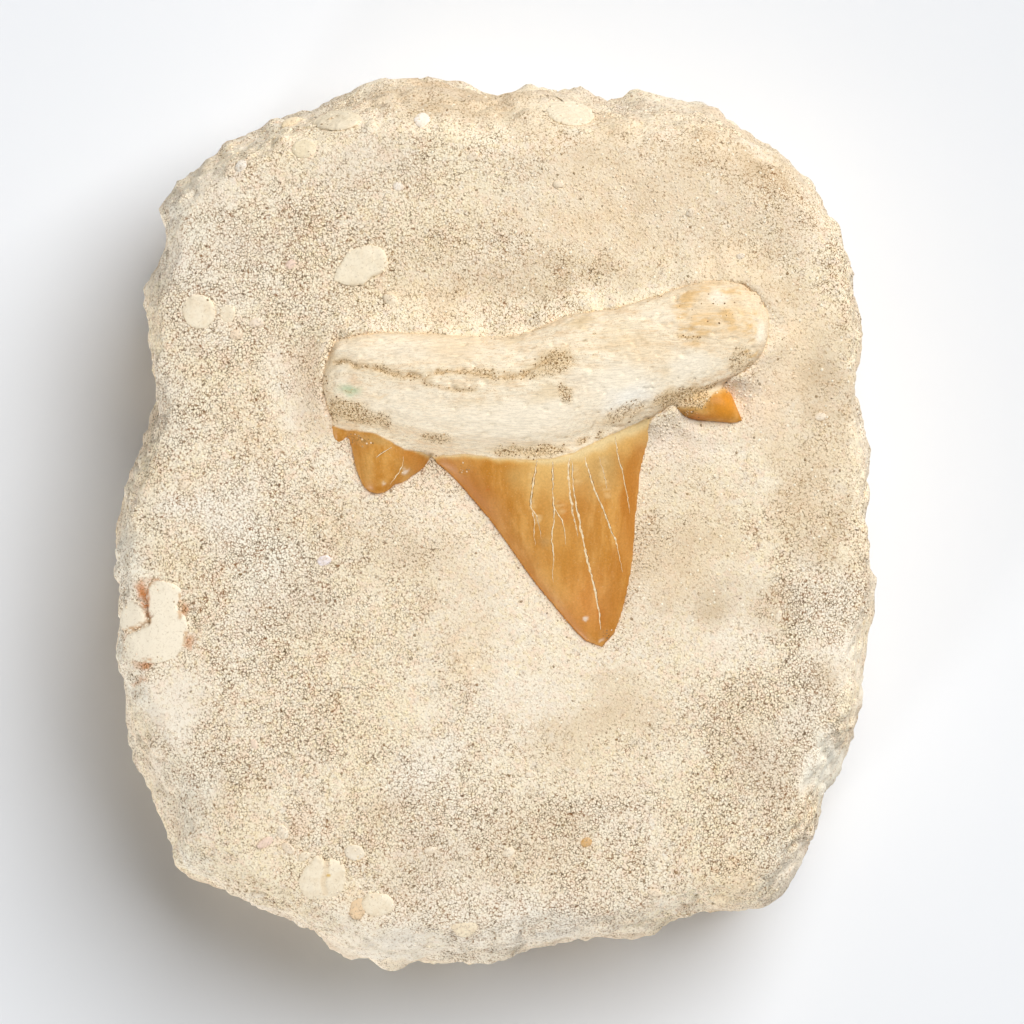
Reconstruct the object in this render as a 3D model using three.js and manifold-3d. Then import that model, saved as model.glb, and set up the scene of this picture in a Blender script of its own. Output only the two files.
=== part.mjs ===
// A fossil shark tooth bedded in its block of pale phosphatic sand, lying face up.
// Millimetres, +Z up. The origin is the middle of the block's flat underside, +Y runs up the block
// and the tooth's point is towards -Y. Nothing moves: every piece is cemented in the sand.

import * as THREE from 'three';
import { mergeVertices } from 'three/addons/utils/BufferGeometryUtils.js';
import Module from 'manifold-3d';

const wasm = await Module();
wasm.setup();

// ---- Driving dimensions ----------------------------------------------------------------------

const topHeight = 26.8; // the block's upper face, around the tooth
const topSwell = 0.25; // how far that face swells and dips
const bulgeHeight = 12; // the height at which the block is widest
const baseInset = 4; // the flat underside stops this far inside the widest outline
const bedHeight = 27; // the plane through the tooth's cutting edges and the rim of its root
const socketGap = 0.3; // clearance between a bedded piece and the stone around it

const blockSides = 94; // facets round the block
const toothSides = 16; // facets round a section of the tooth
const pebbleSides = 14; // facets round a pebble
const pebbleLevels = 6; // rows of facets from the top of a pebble to its bottom

// ---- Helpers ---------------------------------------------------------------------------------

/** Turns a three.js geometry into a manifold solid, with its shared corners merged. */
function solidFromGeometry(geometry) {
  geometry.deleteAttribute('normal');
  geometry.deleteAttribute('uv');
  const merged = mergeVertices(geometry);
  const mesh = new wasm.Mesh({
    numProp: 3,
    vertProperties: new Float32Array(merged.attributes.position.array),
    triVerts: new Uint32Array(merged.index.array),
  });
  return new wasm.Manifold(mesh);
}

/** Turns a manifold solid back into a three.js geometry. */
function geometryFromSolid(solid) {
  const mesh = solid.getMesh();
  const geometry = new THREE.BufferGeometry();
  geometry.setAttribute('position', new THREE.BufferAttribute(mesh.vertProperties, 3));
  geometry.setIndex(new THREE.BufferAttribute(mesh.triVerts, 1));
  return geometry;
}

/**
 * A closed body made by pushing the grid of a sphere. place(turn, level) gives the point for each
 * column and row: turns run anticlockwise seen from level 0, and levels run from pole to pole.
 */
function pushedSphere(columns, rows, place) {
  const geometry = new THREE.SphereGeometry(1, columns, rows);
  const { position, uv } = geometry.attributes;
  for (let index = 0; index < position.count; index += 1) {
    const turn = (Math.round(uv.getX(index) * columns) + columns) % columns;
    const level = Math.round((1 - uv.getY(index)) * rows);
    const point = place(turn, level);
    position.setXYZ(index, point.x, point.y, point.z);
  }
  return solidFromGeometry(geometry);
}

/** A smooth curve in space through points given as [x, y] or [x, y, z]. */
function curveThrough(points, closed = false) {
  const vectors = points.map(([x, y, z = 0]) => new THREE.Vector3(x, y, z));
  return new THREE.CatmullRomCurve3(vectors, closed, 'centripetal');
}

/** A smooth run of values, read at share 0 to 1 of the way along. */
function runOfValues(values) {
  const curve = new THREE.SplineCurve(values.map((value, index) => new THREE.Vector2(index, value)));
  return (share) => curve.getPoint(share).y;
}

// ---- The block of matrix ---------------------------------------------------------------------

// The block's broken outline at its widest, anticlockwise from the middle of the right side:
// x, y and the width of the worn shoulder between the side and the upper face.
const blockOutline = [
  [37.8, 0, 1.2], [37.9, 6.6, 1.2], [37, 10, 1.2], [36.9, 15, 1.2], [37.2, 17.8, 1.2],
  [36, 25.2, 1.3], [35.1, 29.4, 1.6], [33.6, 32, 2], [31.6, 35.1, 2.6], [29.5, 37.3, 3],
  [25.4, 40, 3.5], [22.4, 42.2, 4], [19.8, 42.6, 4.2], [15.6, 42.7, 4.4], [11.5, 43, 4.6],
  [8.2, 43.6, 4.8], [5.1, 44.5, 5], [2.6, 44.5, 5], [1, 44, 4.8], [-1.5, 44.1, 4.8],
  [-6.5, 45.3, 5], [-9.1, 45.2, 5], [-12, 44.9, 4.6], [-17.2, 42.5, 4], [-21.8, 41, 3.4],
  [-25, 39.1, 3], [-28.7, 37.6, 3], [-32.1, 34.5, 2.6], [-33.6, 32.3, 2.2], [-33.8, 30.3, 2],
  [-33.4, 28, 2], [-33.9, 26, 2], [-35.1, 23.6, 1.8], [-35.4, 20.4, 1.6], [-35.2, 16.3, 1.6],
  [-34.3, 11.7, 1.6], [-35.7, 7.7, 1.8], [-37.7, 3.1, 2], [-38.3, -0.5, 2.2], [-38.8, -3, 2.2],
  [-38.8, -6, 2], [-38, -8.8, 1.6], [-38.3, -12.1, 1.8], [-38.2, -17.2, 2.6], [-37.4, -20.2, 3.2],
  [-35.9, -25.8, 4.2], [-34.5, -28.4, 4.8], [-33.6, -31.4, 5.2], [-33.2, -34.5, 5.4],
  [-32.2, -36.2, 5.2], [-28.4, -37.8, 4.2], [-25.3, -39.5, 3.6], [-22.3, -40.2, 3.2],
  [-19.2, -41.8, 2.8], [-13.7, -44.8, 3.2], [-11.1, -45.2, 3.6], [-5.5, -44.8, 3.6],
  [0.6, -45, 3.8], [5.1, -43.1, 3.2], [11.7, -42.7, 3], [17.3, -41.2, 2.8], [21.9, -39.2, 2.4],
  [26.4, -39.8, 2.8], [28.5, -39, 3], [30.1, -36.2, 3], [32.7, -32.6, 2.8], [33.2, -29.9, 2.8],
  [35.1, -24.8, 3], [36.8, -21.3, 2.6], [37.3, -18.2, 2], [37.2, -15.2, 1.8], [38.4, -8.1, 1.6],
  [38.7, -5.5, 1.4], [37.9, -2.6, 1.2],
];

// The rings of the block from its upper face down to its underside: height, how far each ring is
// drawn in from the widest outline, and what share of the shoulder's width is added to that.
const blockRings = [
  { height: topHeight - 0.2, inset: 3, shoulderShare: 1 },
  { height: 25.8, inset: 0, shoulderShare: 1.15 },
  { height: 24.2, inset: 0, shoulderShare: 0.8 },
  { height: 21, inset: 0, shoulderShare: 0.45 },
  { height: 17, inset: 0, shoulderShare: 0.15 },
  { height: bulgeHeight, inset: 0, shoulderShare: 0 },
  { height: 6, inset: 0.6, shoulderShare: 0 },
  { height: 1.5, inset: 2.2, shoulderShare: 0 },
  { height: 0, inset: baseInset, shoulderShare: 0 },
];
const topFaceShares = [0, 0.3, 0.55, 0.8]; // rings of the upper face, as shares of its width
const baseShares = [0.5, 0]; // the same on the flat underside, from the rim to the middle

/** How deeply the block is undercut at a turn round it, since it broke unevenly: about 1. */
function undercutAt(turn) {
  const angle = (turn / blockSides) * 2 * Math.PI;
  const broadWave = 0.4 * Math.sin(2 * angle + 0.6);
  const shortWave = 0.35 * Math.sin(5 * angle + 2);
  return 1 + broadWave + shortWave;
}

/** The height of the block's upper face, which swells a little like any broken bedding plane. */
function topFaceHeight(x, y) {
  const acrossWave = 0.11;
  const alongWave = 0.085;
  return topHeight + topSwell * Math.sin(acrossWave * x + 1) * Math.cos(alongWave * y);
}

function blockSolid() {
  const outline = curveThrough(blockOutline, true).getSpacedPoints(blockSides);
  const firstRing = topFaceShares.length;
  const lastRing = firstRing + blockRings.length - 1;
  const ringPoint = (turn, ring) => {
    const edge = outline[turn];
    const reach = Math.hypot(edge.x, edge.y);
    const drawnIn = ring.inset * undercutAt(turn) + ring.shoulderShare * edge.z;
    return new THREE.Vector3(edge.x, edge.y, 0).setLength(reach - drawnIn).setZ(ring.height);
  };
  return pushedSphere(blockSides, lastRing + baseShares.length, (turn, level) => {
    if (level < firstRing) {
      const rim = ringPoint(turn, blockRings[0]);
      const point = rim.clone().multiplyScalar(topFaceShares[level]);
      return point.setZ(topFaceHeight(point.x, point.y));
    }
    if (level > lastRing) {
      const rim = ringPoint(turn, blockRings.at(-1));
      return rim.multiplyScalar(baseShares[level - lastRing - 1]).setZ(0);
    }
    return ringPoint(turn, blockRings[level - firstRing]);
  });
}

// ---- The tooth -------------------------------------------------------------------------------

// Each part of the tooth is a body between two edges that run side by side from its start to its
// end, as seen by someone who stands at the start and looks along it. crest and keel are its
// heights above and depths below the bed plane, at even steps along it. peak says where the crest
// lies across it, from -1 at the left edge to 1 at the right. A roundness of 0.5 gives blunt
// rounded edges, and 1 gives keen ones.
const root = {
  rings: 24,
  rightEdge: [
    [-17.2, 12.8], [-16.8, 10.4], [-15.6, 9.4], [-12.4, 9], [-10.4, 8.3], [-8.4, 7.3], [-6.4, 6.7],
    [-1.5, 6.6], [2.5, 6.2], [5.5, 6.4], [8, 7], [10.5, 8], [14.5, 9.5], [17.7, 11.2],
    [20.5, 12.5], [24, 13.9], [26.4, 15.8], [27.5, 17.4],
  ],
  leftEdge: [
    [-17.2, 14.4], [-17.1, 16.4], [-16.3, 18.2], [-14.4, 18.9], [-12, 19.1], [-8, 19.1],
    [-3, 18.7], [0, 18.6], [2.5, 18.9], [5, 19.9], [8, 20.9], [13, 21.8], [18, 23.4], [20, 24.1],
    [22, 24.4], [24.5, 24.2], [26.3, 23.3], [27.5, 21.6], [27.9, 19],
  ],
  crest: [1.6, 3.4, 4.4, 5.2, 5.8, 6, 5.8, 5.2, 4.6, 4, 3.2, 1.8],
  keel: [1.5, 3, 4, 4.5, 4.5, 4.5, 4, 3, 1.5],
  peak: 0.2,
  roundness: 0.5,
};

const crown = {
  rings: 18,
  rightEdge: [
    [-7.2, 8.4], [-6.2, 6.2], [-4.2, 4.4], [-2.2, 2.1], [-0.2, -0.3], [2.3, -3.8], [4, -6.2],
    [6, -8.6], [8, -11], [8.8, -11.8], [9.6, -12.4], [10.4, -12.75],
  ],
  leftEdge: [
    [18.6, 12.6], [17, 10.7], [16, 9.2], [15.2, 7.3], [14.6, 4.8], [14.4, 2.5], [14.1, 0],
    [13.9, -3.4], [13.1, -8], [12.4, -10.3], [11.5, -12.2], [11.1, -12.6],
  ],
  crest: [3.4, 3.6, 3.4, 3, 2.5, 1.9, 1.2, 0.6],
  keel: [2.5, 2.5, 2.2, 2, 1.6, 1.2, 0.8, 0.5],
  peak: 0,
  roundness: 0.8,
};

const leftCusplet = {
  rings: 12,
  rightEdge: [
    [-15.2, 9.8], [-14.3, 7.2], [-13.9, 5.3], [-13.5, 4.3], [-13.1, 3.4], [-12.5, 2.9],
    [-11.7, 2.65],
  ],
  leftEdge: [
    [-5.9, 7.8], [-6.5, 6.1], [-7.1, 5.2], [-8.4, 4.3], [-9, 3.8], [-9.8, 3.7], [-10.7, 2.9],
    [-11.7, 2.65],
  ],
  crest: [2.2, 2.3, 2, 1.5, 1, 0.5],
  keel: [1.5, 1.3, 1, 0.8, 0.6, 0.4],
  peak: 0,
  roundness: 0.7,
};

const outerCusplet = {
  rings: 6,
  rightEdge: [[-17, 10.8], [-16.8, 9.6], [-16.4, 8.8], [-16.1, 8.2], [-15.7, 7.8]],
  leftEdge: [[-14.2, 9.6], [-14.7, 8.5], [-15, 8.1], [-15.3, 7.9], [-15.7, 7.8]],
  crest: [1.3, 1.2, 0.9, 0.5],
  keel: [0.8, 0.7, 0.5, 0.4],
  peak: 0,
  roundness: 0.6,
};

const rightCusplet = {
  rings: 10,
  rightEdge: [[18.2, 11], [18.7, 10.5], [20, 10.05], [22, 9.9], [24, 9.75], [24.8, 10]],
  leftEdge: [[18.2, 12], [19.6, 12.6], [21.6, 13.4], [22.8, 13.45], [23.6, 12.8], [24.2, 11.4],
    [24.8, 10]],
  crest: [1.6, 2, 2.1, 1.8, 1.3, 0.6],
  keel: [1, 1.2, 1.2, 1, 0.8, 0.5],
  peak: 0,
  roundness: 0.6,
};

/** One part of the tooth. growth swells it evenly, to cut its socket. */
function toothPart(part, growth) {
  const right = curveThrough(part.rightEdge).getSpacedPoints(part.rings);
  const left = curveThrough(part.leftEdge).getSpacedPoints(part.rings);
  const crestAt = runOfValues(part.crest);
  const keelAt = runOfValues(part.keel);
  const middle = (ring) => right[ring].clone().lerp(left[ring], 0.5);
  const step = (from, to) => middle(to).sub(middle(from)).normalize();
  const start = middle(0).addScaledVector(step(0, 1), -growth);
  const end = middle(part.rings).addScaledVector(step(part.rings - 1, part.rings), growth);
  return pushedSphere(toothSides, part.rings + 1, (turn, level) => {
    if (level === 0) {
      return start.clone().setZ(bedHeight);
    }
    if (level === part.rings + 1) {
      return end.clone().setZ(bedHeight);
    }
    const ring = level - 1;
    const angle = (turn / toothSides) * 2 * Math.PI;
    const across = Math.cos(angle);
    const half = right[ring].clone().sub(left[ring]).multiplyScalar(0.5);
    half.setLength(half.length() + growth);
    const origin = ring === 0 ? start : middle(ring);
    const point = origin.clone().addScaledVector(half, across);
    const fromPeak = (across - part.peak) / (1 - Math.sign(across - part.peak) * part.peak);
    const rise = (1 - fromPeak ** 2) ** part.roundness;
    const share = ring / part.rings;
    const height = Math.sin(angle) >= 0 ? crestAt(share) + growth : -keelAt(share) - growth;
    return point.setZ(bedHeight + height * rise);
  });
}

const toothParts = [root, crown, leftCusplet, outerCusplet, rightCusplet];

/** The whole tooth in one solid: root, crown and side cusplets grew together. */
function toothSolid(growth) {
  const solids = toothParts.map((part) => toothPart(part, growth));
  return solids.reduce((whole, solid) => whole.add(solid));
}

// ---- The pebbles and fragments in the sand ---------------------------------------------------

/** An oval outline, for the rounded pebbles. */
function oval(x, y, halfWidth, halfHeight, tiltDegrees = 0) {
  const tilt = THREE.MathUtils.degToRad(tiltDegrees);
  return new THREE.EllipseCurve(x, y, halfWidth, halfHeight, 0, 2 * Math.PI, false, tilt);
}

// Outlines run anticlockwise. level is the height of the outline, rise the height of the crown
// above it, and depth how far the piece goes down into the sand. lean is how steeply the piece
// climbs along X and along Y, for those that lie in the block's sloping shoulder.
const pebbles = {
  bone_fragment: {
    outline: curveThrough([
      [-30.9, -10.2], [-31.5, -8.8], [-31.3, -7.6], [-31.9, -6.7], [-33.2, -6.2], [-34.7, -6.3],
      [-35.2, -7.4], [-35.9, -8.1], [-36.9, -8.6], [-37.3, -9.8], [-37.2, -11.4], [-37, -12.8],
      [-36.4, -13.8], [-34.6, -14.1], [-32.8, -13.9], [-31.5, -13], [-30.8, -11.6],
    ], true),
    level: 24.7, lean: [0.25, 0], rise: 1.9, depth: 4, colour: 0xf4e7d1,
  },
  twin_nodule: {
    outline: curveThrough([
      [-14.9, -35.4], [-15.1, -34.2], [-15.8, -33.9], [-16.7, -34.1], [-17.2, -33.6],
      [-17.9, -33.5], [-18.6, -34.2], [-19.2, -35.1], [-19.7, -36.2], [-19.2, -37.4],
      [-18.4, -38], [-17.4, -37.9], [-16.8, -37.8], [-15.8, -37.7], [-15.1, -36.9],
    ], true),
    level: 26.6, rise: 0.8, depth: 1.6, colour: 0xf0e0c6,
  },
  angular_pebble: {
    outline: curveThrough([
      [-10.6, 25.6], [-10.8, 26.6], [-11.2, 27.3], [-13, 27.5], [-14.2, 27.1], [-15, 26.4],
      [-15.4, 25.5], [-16.1, 24.6], [-16, 23.9], [-15, 23.6], [-13.1, 23.6], [-12.2, 24.4],
      [-11, 24.9],
    ], true),
    level: 26.7, rise: 0.8, depth: 2, colour: 0xf6e6cb,
  },
  white_pebble: {
    outline: oval(-14, -33.2, 1.05, 0.8, -10),
    level: 26.7, rise: 0.6, depth: 1, colour: 0xefe3d0,
  },
  oval_pebble: {
    outline: oval(-11.7, -38.4, 1.7, 1.2),
    level: 26.4, rise: 0.7, depth: 1.2, colour: 0xf1e1c4,
  },
  round_pebble: {
    outline: oval(-29.6, 20.9, 1.65, 1.75, 20),
    level: 26.6, rise: 0.8, depth: 1.6, colour: 0xf3e8d2,
  },
  small_pebble: {
    outline: oval(-26.7, 20.7, 0.75, 0.95),
    level: 26.7, rise: 0.6, depth: 0.9, colour: 0xf3e2d2,
  },
  white_chip: {
    outline: curveThrough([
      [-6.4, 40.2], [-7, 40.9], [-7.6, 40.7], [-8.1, 40.1], [-7.8, 39.5], [-7.3, 39.2],
      [-6.8, 39.7],
    ], true),
    level: 25.4, lean: [0.2, -0.9], rise: 0.7, depth: 1, colour: 0xfbeee2,
  },
  flat_clast_left: {
    outline: oval(-15.8, 40.1, 2.5, 1, 4),
    level: 23.3, lean: [0.8, -2.1], rise: 1.1, depth: 2, colour: 0xeedcba,
  },
  round_clast: {
    outline: oval(-19.1, 37.2, 1.25, 1),
    level: 26, lean: [0.1, -0.3], rise: 0.7, depth: 1, colour: 0xeedcb6,
  },
  flat_clast_right: {
    outline: oval(7.6, 40.9, 2.5, 1.3, -8),
    level: 22.3, lean: [0.2, -2.1], rise: 1.2, depth: 2, colour: 0xf0dfbf,
  },
};

/** A pebble: a flattened ball pushed to its outline. growth swells it evenly, to cut its socket. */
function pebbleSolid(pebble, growth) {
  const flatness = 0.7; // below 1 the crown of the pebble is flatter than a ball's
  const outline = pebble.outline.getSpacedPoints(pebbleSides).slice(0, pebbleSides);
  const sum = outline.reduce((total, { x, y }) => total.add(new THREE.Vector2(x, y)),
    new THREE.Vector2());
  const centre = sum.divideScalar(pebbleSides);
  const lean = new THREE.Vector2(...(pebble.lean ?? [0, 0]));
  return pushedSphere(pebbleSides, pebbleLevels, (turn, level) => {
    const latitude = (level / pebbleLevels) * Math.PI;
    const reach = new THREE.Vector2(outline[turn].x, outline[turn].y).sub(centre);
    reach.setLength(reach.length() + growth).multiplyScalar(Math.sin(latitude));
    const upness = Math.cos(latitude);
    const height = (upness >= 0 ? pebble.rise : pebble.depth) + growth;
    const z = pebble.level + Math.sign(upness) * Math.abs(upness) ** flatness * height;
    return new THREE.Vector3(centre.x + reach.x, centre.y + reach.y, z + lean.dot(reach));
  });
}

// ---- The assembly ----------------------------------------------------------------------------

/** A named mesh with its own material. */
function piece(name, solid, colour, roughness) {
  const material = new THREE.MeshStandardMaterial({ color: colour, roughness, metalness: 0 });
  const mesh = new THREE.Mesh(geometryFromSolid(solid), material);
  mesh.name = name;
  return mesh;
}

const sockets = Object.values(pebbles).map((pebble) => pebbleSolid(pebble, socketGap));
const matrix = sockets.reduce(
  (stone, socket) => stone.subtract(socket),
  blockSolid().subtract(toothSolid(socketGap)),
);

const group = new THREE.Group();
group.add(piece('matrix', matrix, 0xe6d4b8, 0.95));
group.add(piece('shark_tooth', toothSolid(0), 0xd9a35f, 0.4));
for (const [name, pebble] of Object.entries(pebbles)) {
  group.add(piece(name, pebbleSolid(pebble, 0), pebble.colour, 0.8));
}

export default group;
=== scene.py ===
# %% [markdown]
# # A fossil shark tooth in its block of sand
# A tooth of an extinct shark lies face up in the pale sand that it was found in. The sand is cemented
# just enough to hold together as a block, and small pebbles and a scrap of bone lie in it. The measured
# model gives every piece its place and size. Here each piece gets the surface of the real one: broken and
# grainy sandstone, fibrous root, glossy enamel with filled cracks, chalky pebbles.

# %% Load the measured model
import math

import bmesh
import bpy
import numpy as np
from mathutils import Matrix, Vector, noise
from mathutils.bvhtree import BVHTree


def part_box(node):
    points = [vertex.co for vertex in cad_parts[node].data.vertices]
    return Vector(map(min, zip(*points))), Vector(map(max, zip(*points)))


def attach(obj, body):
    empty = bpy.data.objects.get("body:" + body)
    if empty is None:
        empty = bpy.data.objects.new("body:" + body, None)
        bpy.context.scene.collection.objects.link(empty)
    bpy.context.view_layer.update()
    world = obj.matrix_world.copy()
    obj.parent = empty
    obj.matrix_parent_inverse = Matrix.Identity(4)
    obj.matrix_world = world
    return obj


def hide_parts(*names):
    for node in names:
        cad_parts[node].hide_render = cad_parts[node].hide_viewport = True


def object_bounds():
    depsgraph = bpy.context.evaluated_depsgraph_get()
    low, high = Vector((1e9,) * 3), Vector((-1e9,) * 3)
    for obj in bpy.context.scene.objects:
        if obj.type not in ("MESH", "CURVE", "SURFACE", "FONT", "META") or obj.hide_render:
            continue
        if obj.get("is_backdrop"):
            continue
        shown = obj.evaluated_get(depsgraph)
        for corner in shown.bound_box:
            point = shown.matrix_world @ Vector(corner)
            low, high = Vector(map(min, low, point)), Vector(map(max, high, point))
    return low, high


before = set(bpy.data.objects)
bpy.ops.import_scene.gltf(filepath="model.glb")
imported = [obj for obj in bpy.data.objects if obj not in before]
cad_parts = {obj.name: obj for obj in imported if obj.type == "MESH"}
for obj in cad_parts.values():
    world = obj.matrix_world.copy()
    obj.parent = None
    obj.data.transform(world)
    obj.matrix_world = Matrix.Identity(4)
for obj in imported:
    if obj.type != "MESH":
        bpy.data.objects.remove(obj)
cad_low, cad_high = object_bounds()
MM = 0.001
# A length in mm that stands for nowhere near.
far = 99.0
print("the measured box in mm:", [round(v / MM, 2) for v in (*cad_low, *cad_high)])

# %% [markdown]
# ## The camera
# The block lies on a white table, and the camera looks straight down on it from a metre away, with a long
# lens, so that the sides hardly show. A long lens from far away keeps the outline true: a near camera
# would make the upper face look larger than the underside.

# %% Camera
stone_low, stone_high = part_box("matrix")
stone_middle = (stone_low + stone_high) / 2
view_height = 1000 * MM
view_side = 102.4 * MM
film_side = 36.0

camera_data = bpy.data.cameras.new("camera")
camera_data.sensor_width = film_side
camera_data.lens = film_side * view_height / view_side
camera = bpy.data.objects.new("camera", camera_data)
# The view's middle is a little to the right of the block's middle, and above it on the plan.
right, above = 1.82 * MM, 0.80 * MM
camera.location = (stone_middle.x + right, stone_middle.y + above, stone_high.z + view_height)
bpy.context.collection.objects.link(camera)
bpy.context.scene.camera = camera
bpy.context.scene.view_settings.view_transform = "Standard"
print("lens in mm:", round(camera_data.lens, 1))

# %% [markdown]
# ## Soft studio light
# One large soft lamp stands to the upper right, so that the shadow falls to the left and below with a
# wide soft edge. A small lamp would draw a hard shadow. An even sky fills it, and a low lamp on the
# shadow's side brightens the flanks that look that way, and hardly reaches the table.

# %% Light and table
sky = bpy.data.worlds.new("studio")
sky.use_nodes = True
sky.node_tree.nodes["Background"].inputs["Color"].default_value = (0.87, 0.94, 1.0, 1.0)
sky.node_tree.nodes["Background"].inputs["Strength"].default_value = 0.105
bpy.context.scene.world = sky


def soft_lamp(name, azimuth, elevation, distance, side, power):
    """A square lamp that looks at the block from a direction given in degrees."""
    data = bpy.data.lights.new(name, "AREA")
    data.shape = "SQUARE"
    data.size = side
    data.energy = power
    lamp = bpy.data.objects.new(name, data)
    across, up = math.radians(azimuth), math.radians(elevation)
    towards = Vector((math.cos(across) * math.cos(up), math.sin(across) * math.cos(up), math.sin(up)))
    lamp.location = stone_middle + towards * distance
    lamp.rotation_euler = towards.to_track_quat("Z", "Y").to_euler()
    lamp.visible_camera = False
    bpy.context.collection.objects.link(lamp)
    return lamp


soft_lamp("key_lamp", azimuth=47, elevation=54, distance=2.6, side=2.1, power=85.5)
soft_lamp("fill_lamp", azimuth=232, elevation=4.5, distance=2.6, side=0.38, power=44.0)

table_shape = bmesh.new()
bmesh.ops.create_grid(table_shape, x_segments=1, y_segments=1, size=2.5)
table_data = bpy.data.meshes.new("table")
table_shape.to_mesh(table_data)
table_shape.free()
table = bpy.data.objects.new("table", table_data)
table.location = (0, 0, cad_low.z)
bpy.context.collection.objects.link(table)
table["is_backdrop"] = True

# %% [markdown]
# ## A short way to build materials
# Every finish here is built from shader nodes, and placing them one by one makes long code. A board
# places a node, fills its sockets with plain values or with the outputs of other nodes, and gives back
# its output. Its longer words stand for nodes that are often used together, such as a noise and the soft
# step that cuts spots out of it.

# %% Node helper


class Board:
    """A node tree, with short ways to place its nodes and join them."""

    def __init__(self, tree):
        self.tree = tree

    def fill(self, socket, value):
        """Joins an output to a socket, or puts a plain value on it."""
        if isinstance(value, bpy.types.NodeSocket):
            self.tree.links.new(value, socket)
        else:
            socket.default_value = value

    def add(self, kind, inputs=(), output=0, **settings):
        """Places a node and gives back one of its outputs, or all of them if output is None."""
        node = self.tree.nodes.new(kind)
        for key, value in settings.items():
            setattr(node, key, value)
        for key, value in dict(inputs).items():
            self.fill(node.inputs[key], value)
        return node.outputs if output is None else node.outputs[output]

    def math(self, operation, first, second):
        return self.add("ShaderNodeMath", {0: first, 1: second}, operation=operation)

    def times(self, first, second):
        return self.math("MULTIPLY", first, second)

    def scaled(self, vector, factor):
        return self.add("ShaderNodeVectorMath", {0: vector, 3: factor}, operation="SCALE")

    def moved(self, vector, other):
        return self.add("ShaderNodeVectorMath", {0: vector, 1: other}, operation="ADD")

    def stretched(self, vector, turn, scale):
        """A place turned on the plan and scaled, so that a pattern read there comes out stretched."""
        return self.add("ShaderNodeMapping", {"Vector": vector, "Rotation": (0, 0, turn), "Scale": scale})

    def step(self, value, low, high, from_value=0.0, to_value=1.0):
        """A soft step: from_value below low, to_value above high."""
        sockets = ("Value", "From Min", "From Max", "To Min", "To Max")
        inputs = zip(sockets, (value, low, high, from_value, to_value))
        return self.add("ShaderNodeMapRange", inputs, interpolation_type="SMOOTHSTEP")

    def noise(self, vector, scale, detail=2.0, roughness=0.5):
        inputs = {"Vector": vector, "Scale": scale, "Detail": detail, "Roughness": roughness}
        return self.add("ShaderNodeTexNoise", inputs)

    def spots(self, vector, scale, low, high, detail=2.0, roughness=0.5, least=0.0, most=1.0):
        """Soft spots of noise: least where it is below low, most where it is above high."""
        return self.step(self.noise(vector, scale, detail, roughness), low, high, least, most)

    def seam_distance(self, vector, scale):
        """How far a place is from the nearest seam of a cell pattern."""
        inputs = {"Vector": vector, "Scale": scale}
        return self.add("ShaderNodeTexVoronoi", inputs, "Distance", feature="DISTANCE_TO_EDGE")

    def mix(self, factor, under, over, blend="MIX"):
        """Two colours mixed by a factor."""
        inputs = {0: factor, 6: under, 7: over}
        return self.add("ShaderNodeMix", inputs, output=2, data_type="RGBA", blend_type=blend)

    def shaded(self, color, shade):
        """A colour made darker or lighter by a number."""
        grey = self.add("ShaderNodeCombineXYZ", {0: shade, 1: shade, 2: shade})
        return self.mix(1.0, color, grey, "MULTIPLY")

    def bump(self, height, strength, depth):
        """A bump of up to depth mm."""
        return self.add("ShaderNodeBump", {"Strength": strength, "Distance": depth * MM, "Height": height})

    def attribute(self, name, output="Fac"):
        return self.add("ShaderNodeAttribute", output=output, attribute_name=name)

    def stain(self):
        """The colour and the strength of the stains that a piece carries."""
        return self.attribute("stain", "Color"), self.attribute("stain", "Alpha")

    def place(self):
        """The point on the piece, in millimetres."""
        return self.scaled(self.add("ShaderNodeTexCoord", output="Object"), 1 / MM)


def tone(red, green, blue):
    """A colour as a painter would name it, 0 to 255 a channel, as the linear colour that a shader takes."""
    channels = [c / 255 for c in (red, green, blue)]
    linear = [c / 12.92 if c < 0.04045 else ((c + 0.055) / 1.055) ** 2.4 for c in channels]
    return (*linear, 1.0)


def new_material(name):
    """An empty material, with its board and its main shader."""
    material = bpy.data.materials.new(name)
    material.use_nodes = True
    return material, Board(material.node_tree), material.node_tree.nodes["Principled BSDF"]


def feed(board, shader, **sockets):
    """Fills the shader's sockets with outputs or plain values, by their names with _ for a space."""
    for name, value in sockets.items():
        board.fill(shader.inputs[name.replace("_", " ")], value)


def dress(material, *pieces):
    """Gives pieces a material, in place of any that they had."""
    for piece in pieces:
        piece.data.materials.clear()
        piece.data.materials.append(material)


def new_group(name, inputs, outputs, kind="ShaderNodeTree"):
    """An empty node group with named sockets: its tree, its board, its input node and its output node."""
    tree = bpy.data.node_groups.new(name, kind)
    for way, sockets in (("INPUT", inputs), ("OUTPUT", outputs)):
        for socket, socket_kind in sockets.items():
            tree.interface.new_socket(socket, in_out=way, socket_type="NodeSocket" + socket_kind)
    return tree, Board(tree), tree.nodes.new("NodeGroupInput"), tree.nodes.new("NodeGroupOutput")


# %% Table finish
table_paint, board, shader = new_material("table_paint")
cloudy = board.noise(board.place(), 0.02, detail=3)
shade = board.mix(cloudy, (0.858, 0.872, 0.895, 1), (0.876, 0.89, 0.915, 1))
feed(board, shader, Base_Color=shade, Roughness=0.9, Specular_IOR_Level=0.0)
dress(table_paint, table)

# %% [markdown]
# ## From measured shape to natural surface
# Each measured piece is a closed shape with flat facets. A natural surface needs many small faces of one
# size, so each piece is copied, its corners are welded, and a voxel remesh lays an even skin of small
# squares over it. Smoothing takes the facets away, and noise then pushes the small faces in and out.

# %% Copying and remeshing


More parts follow.
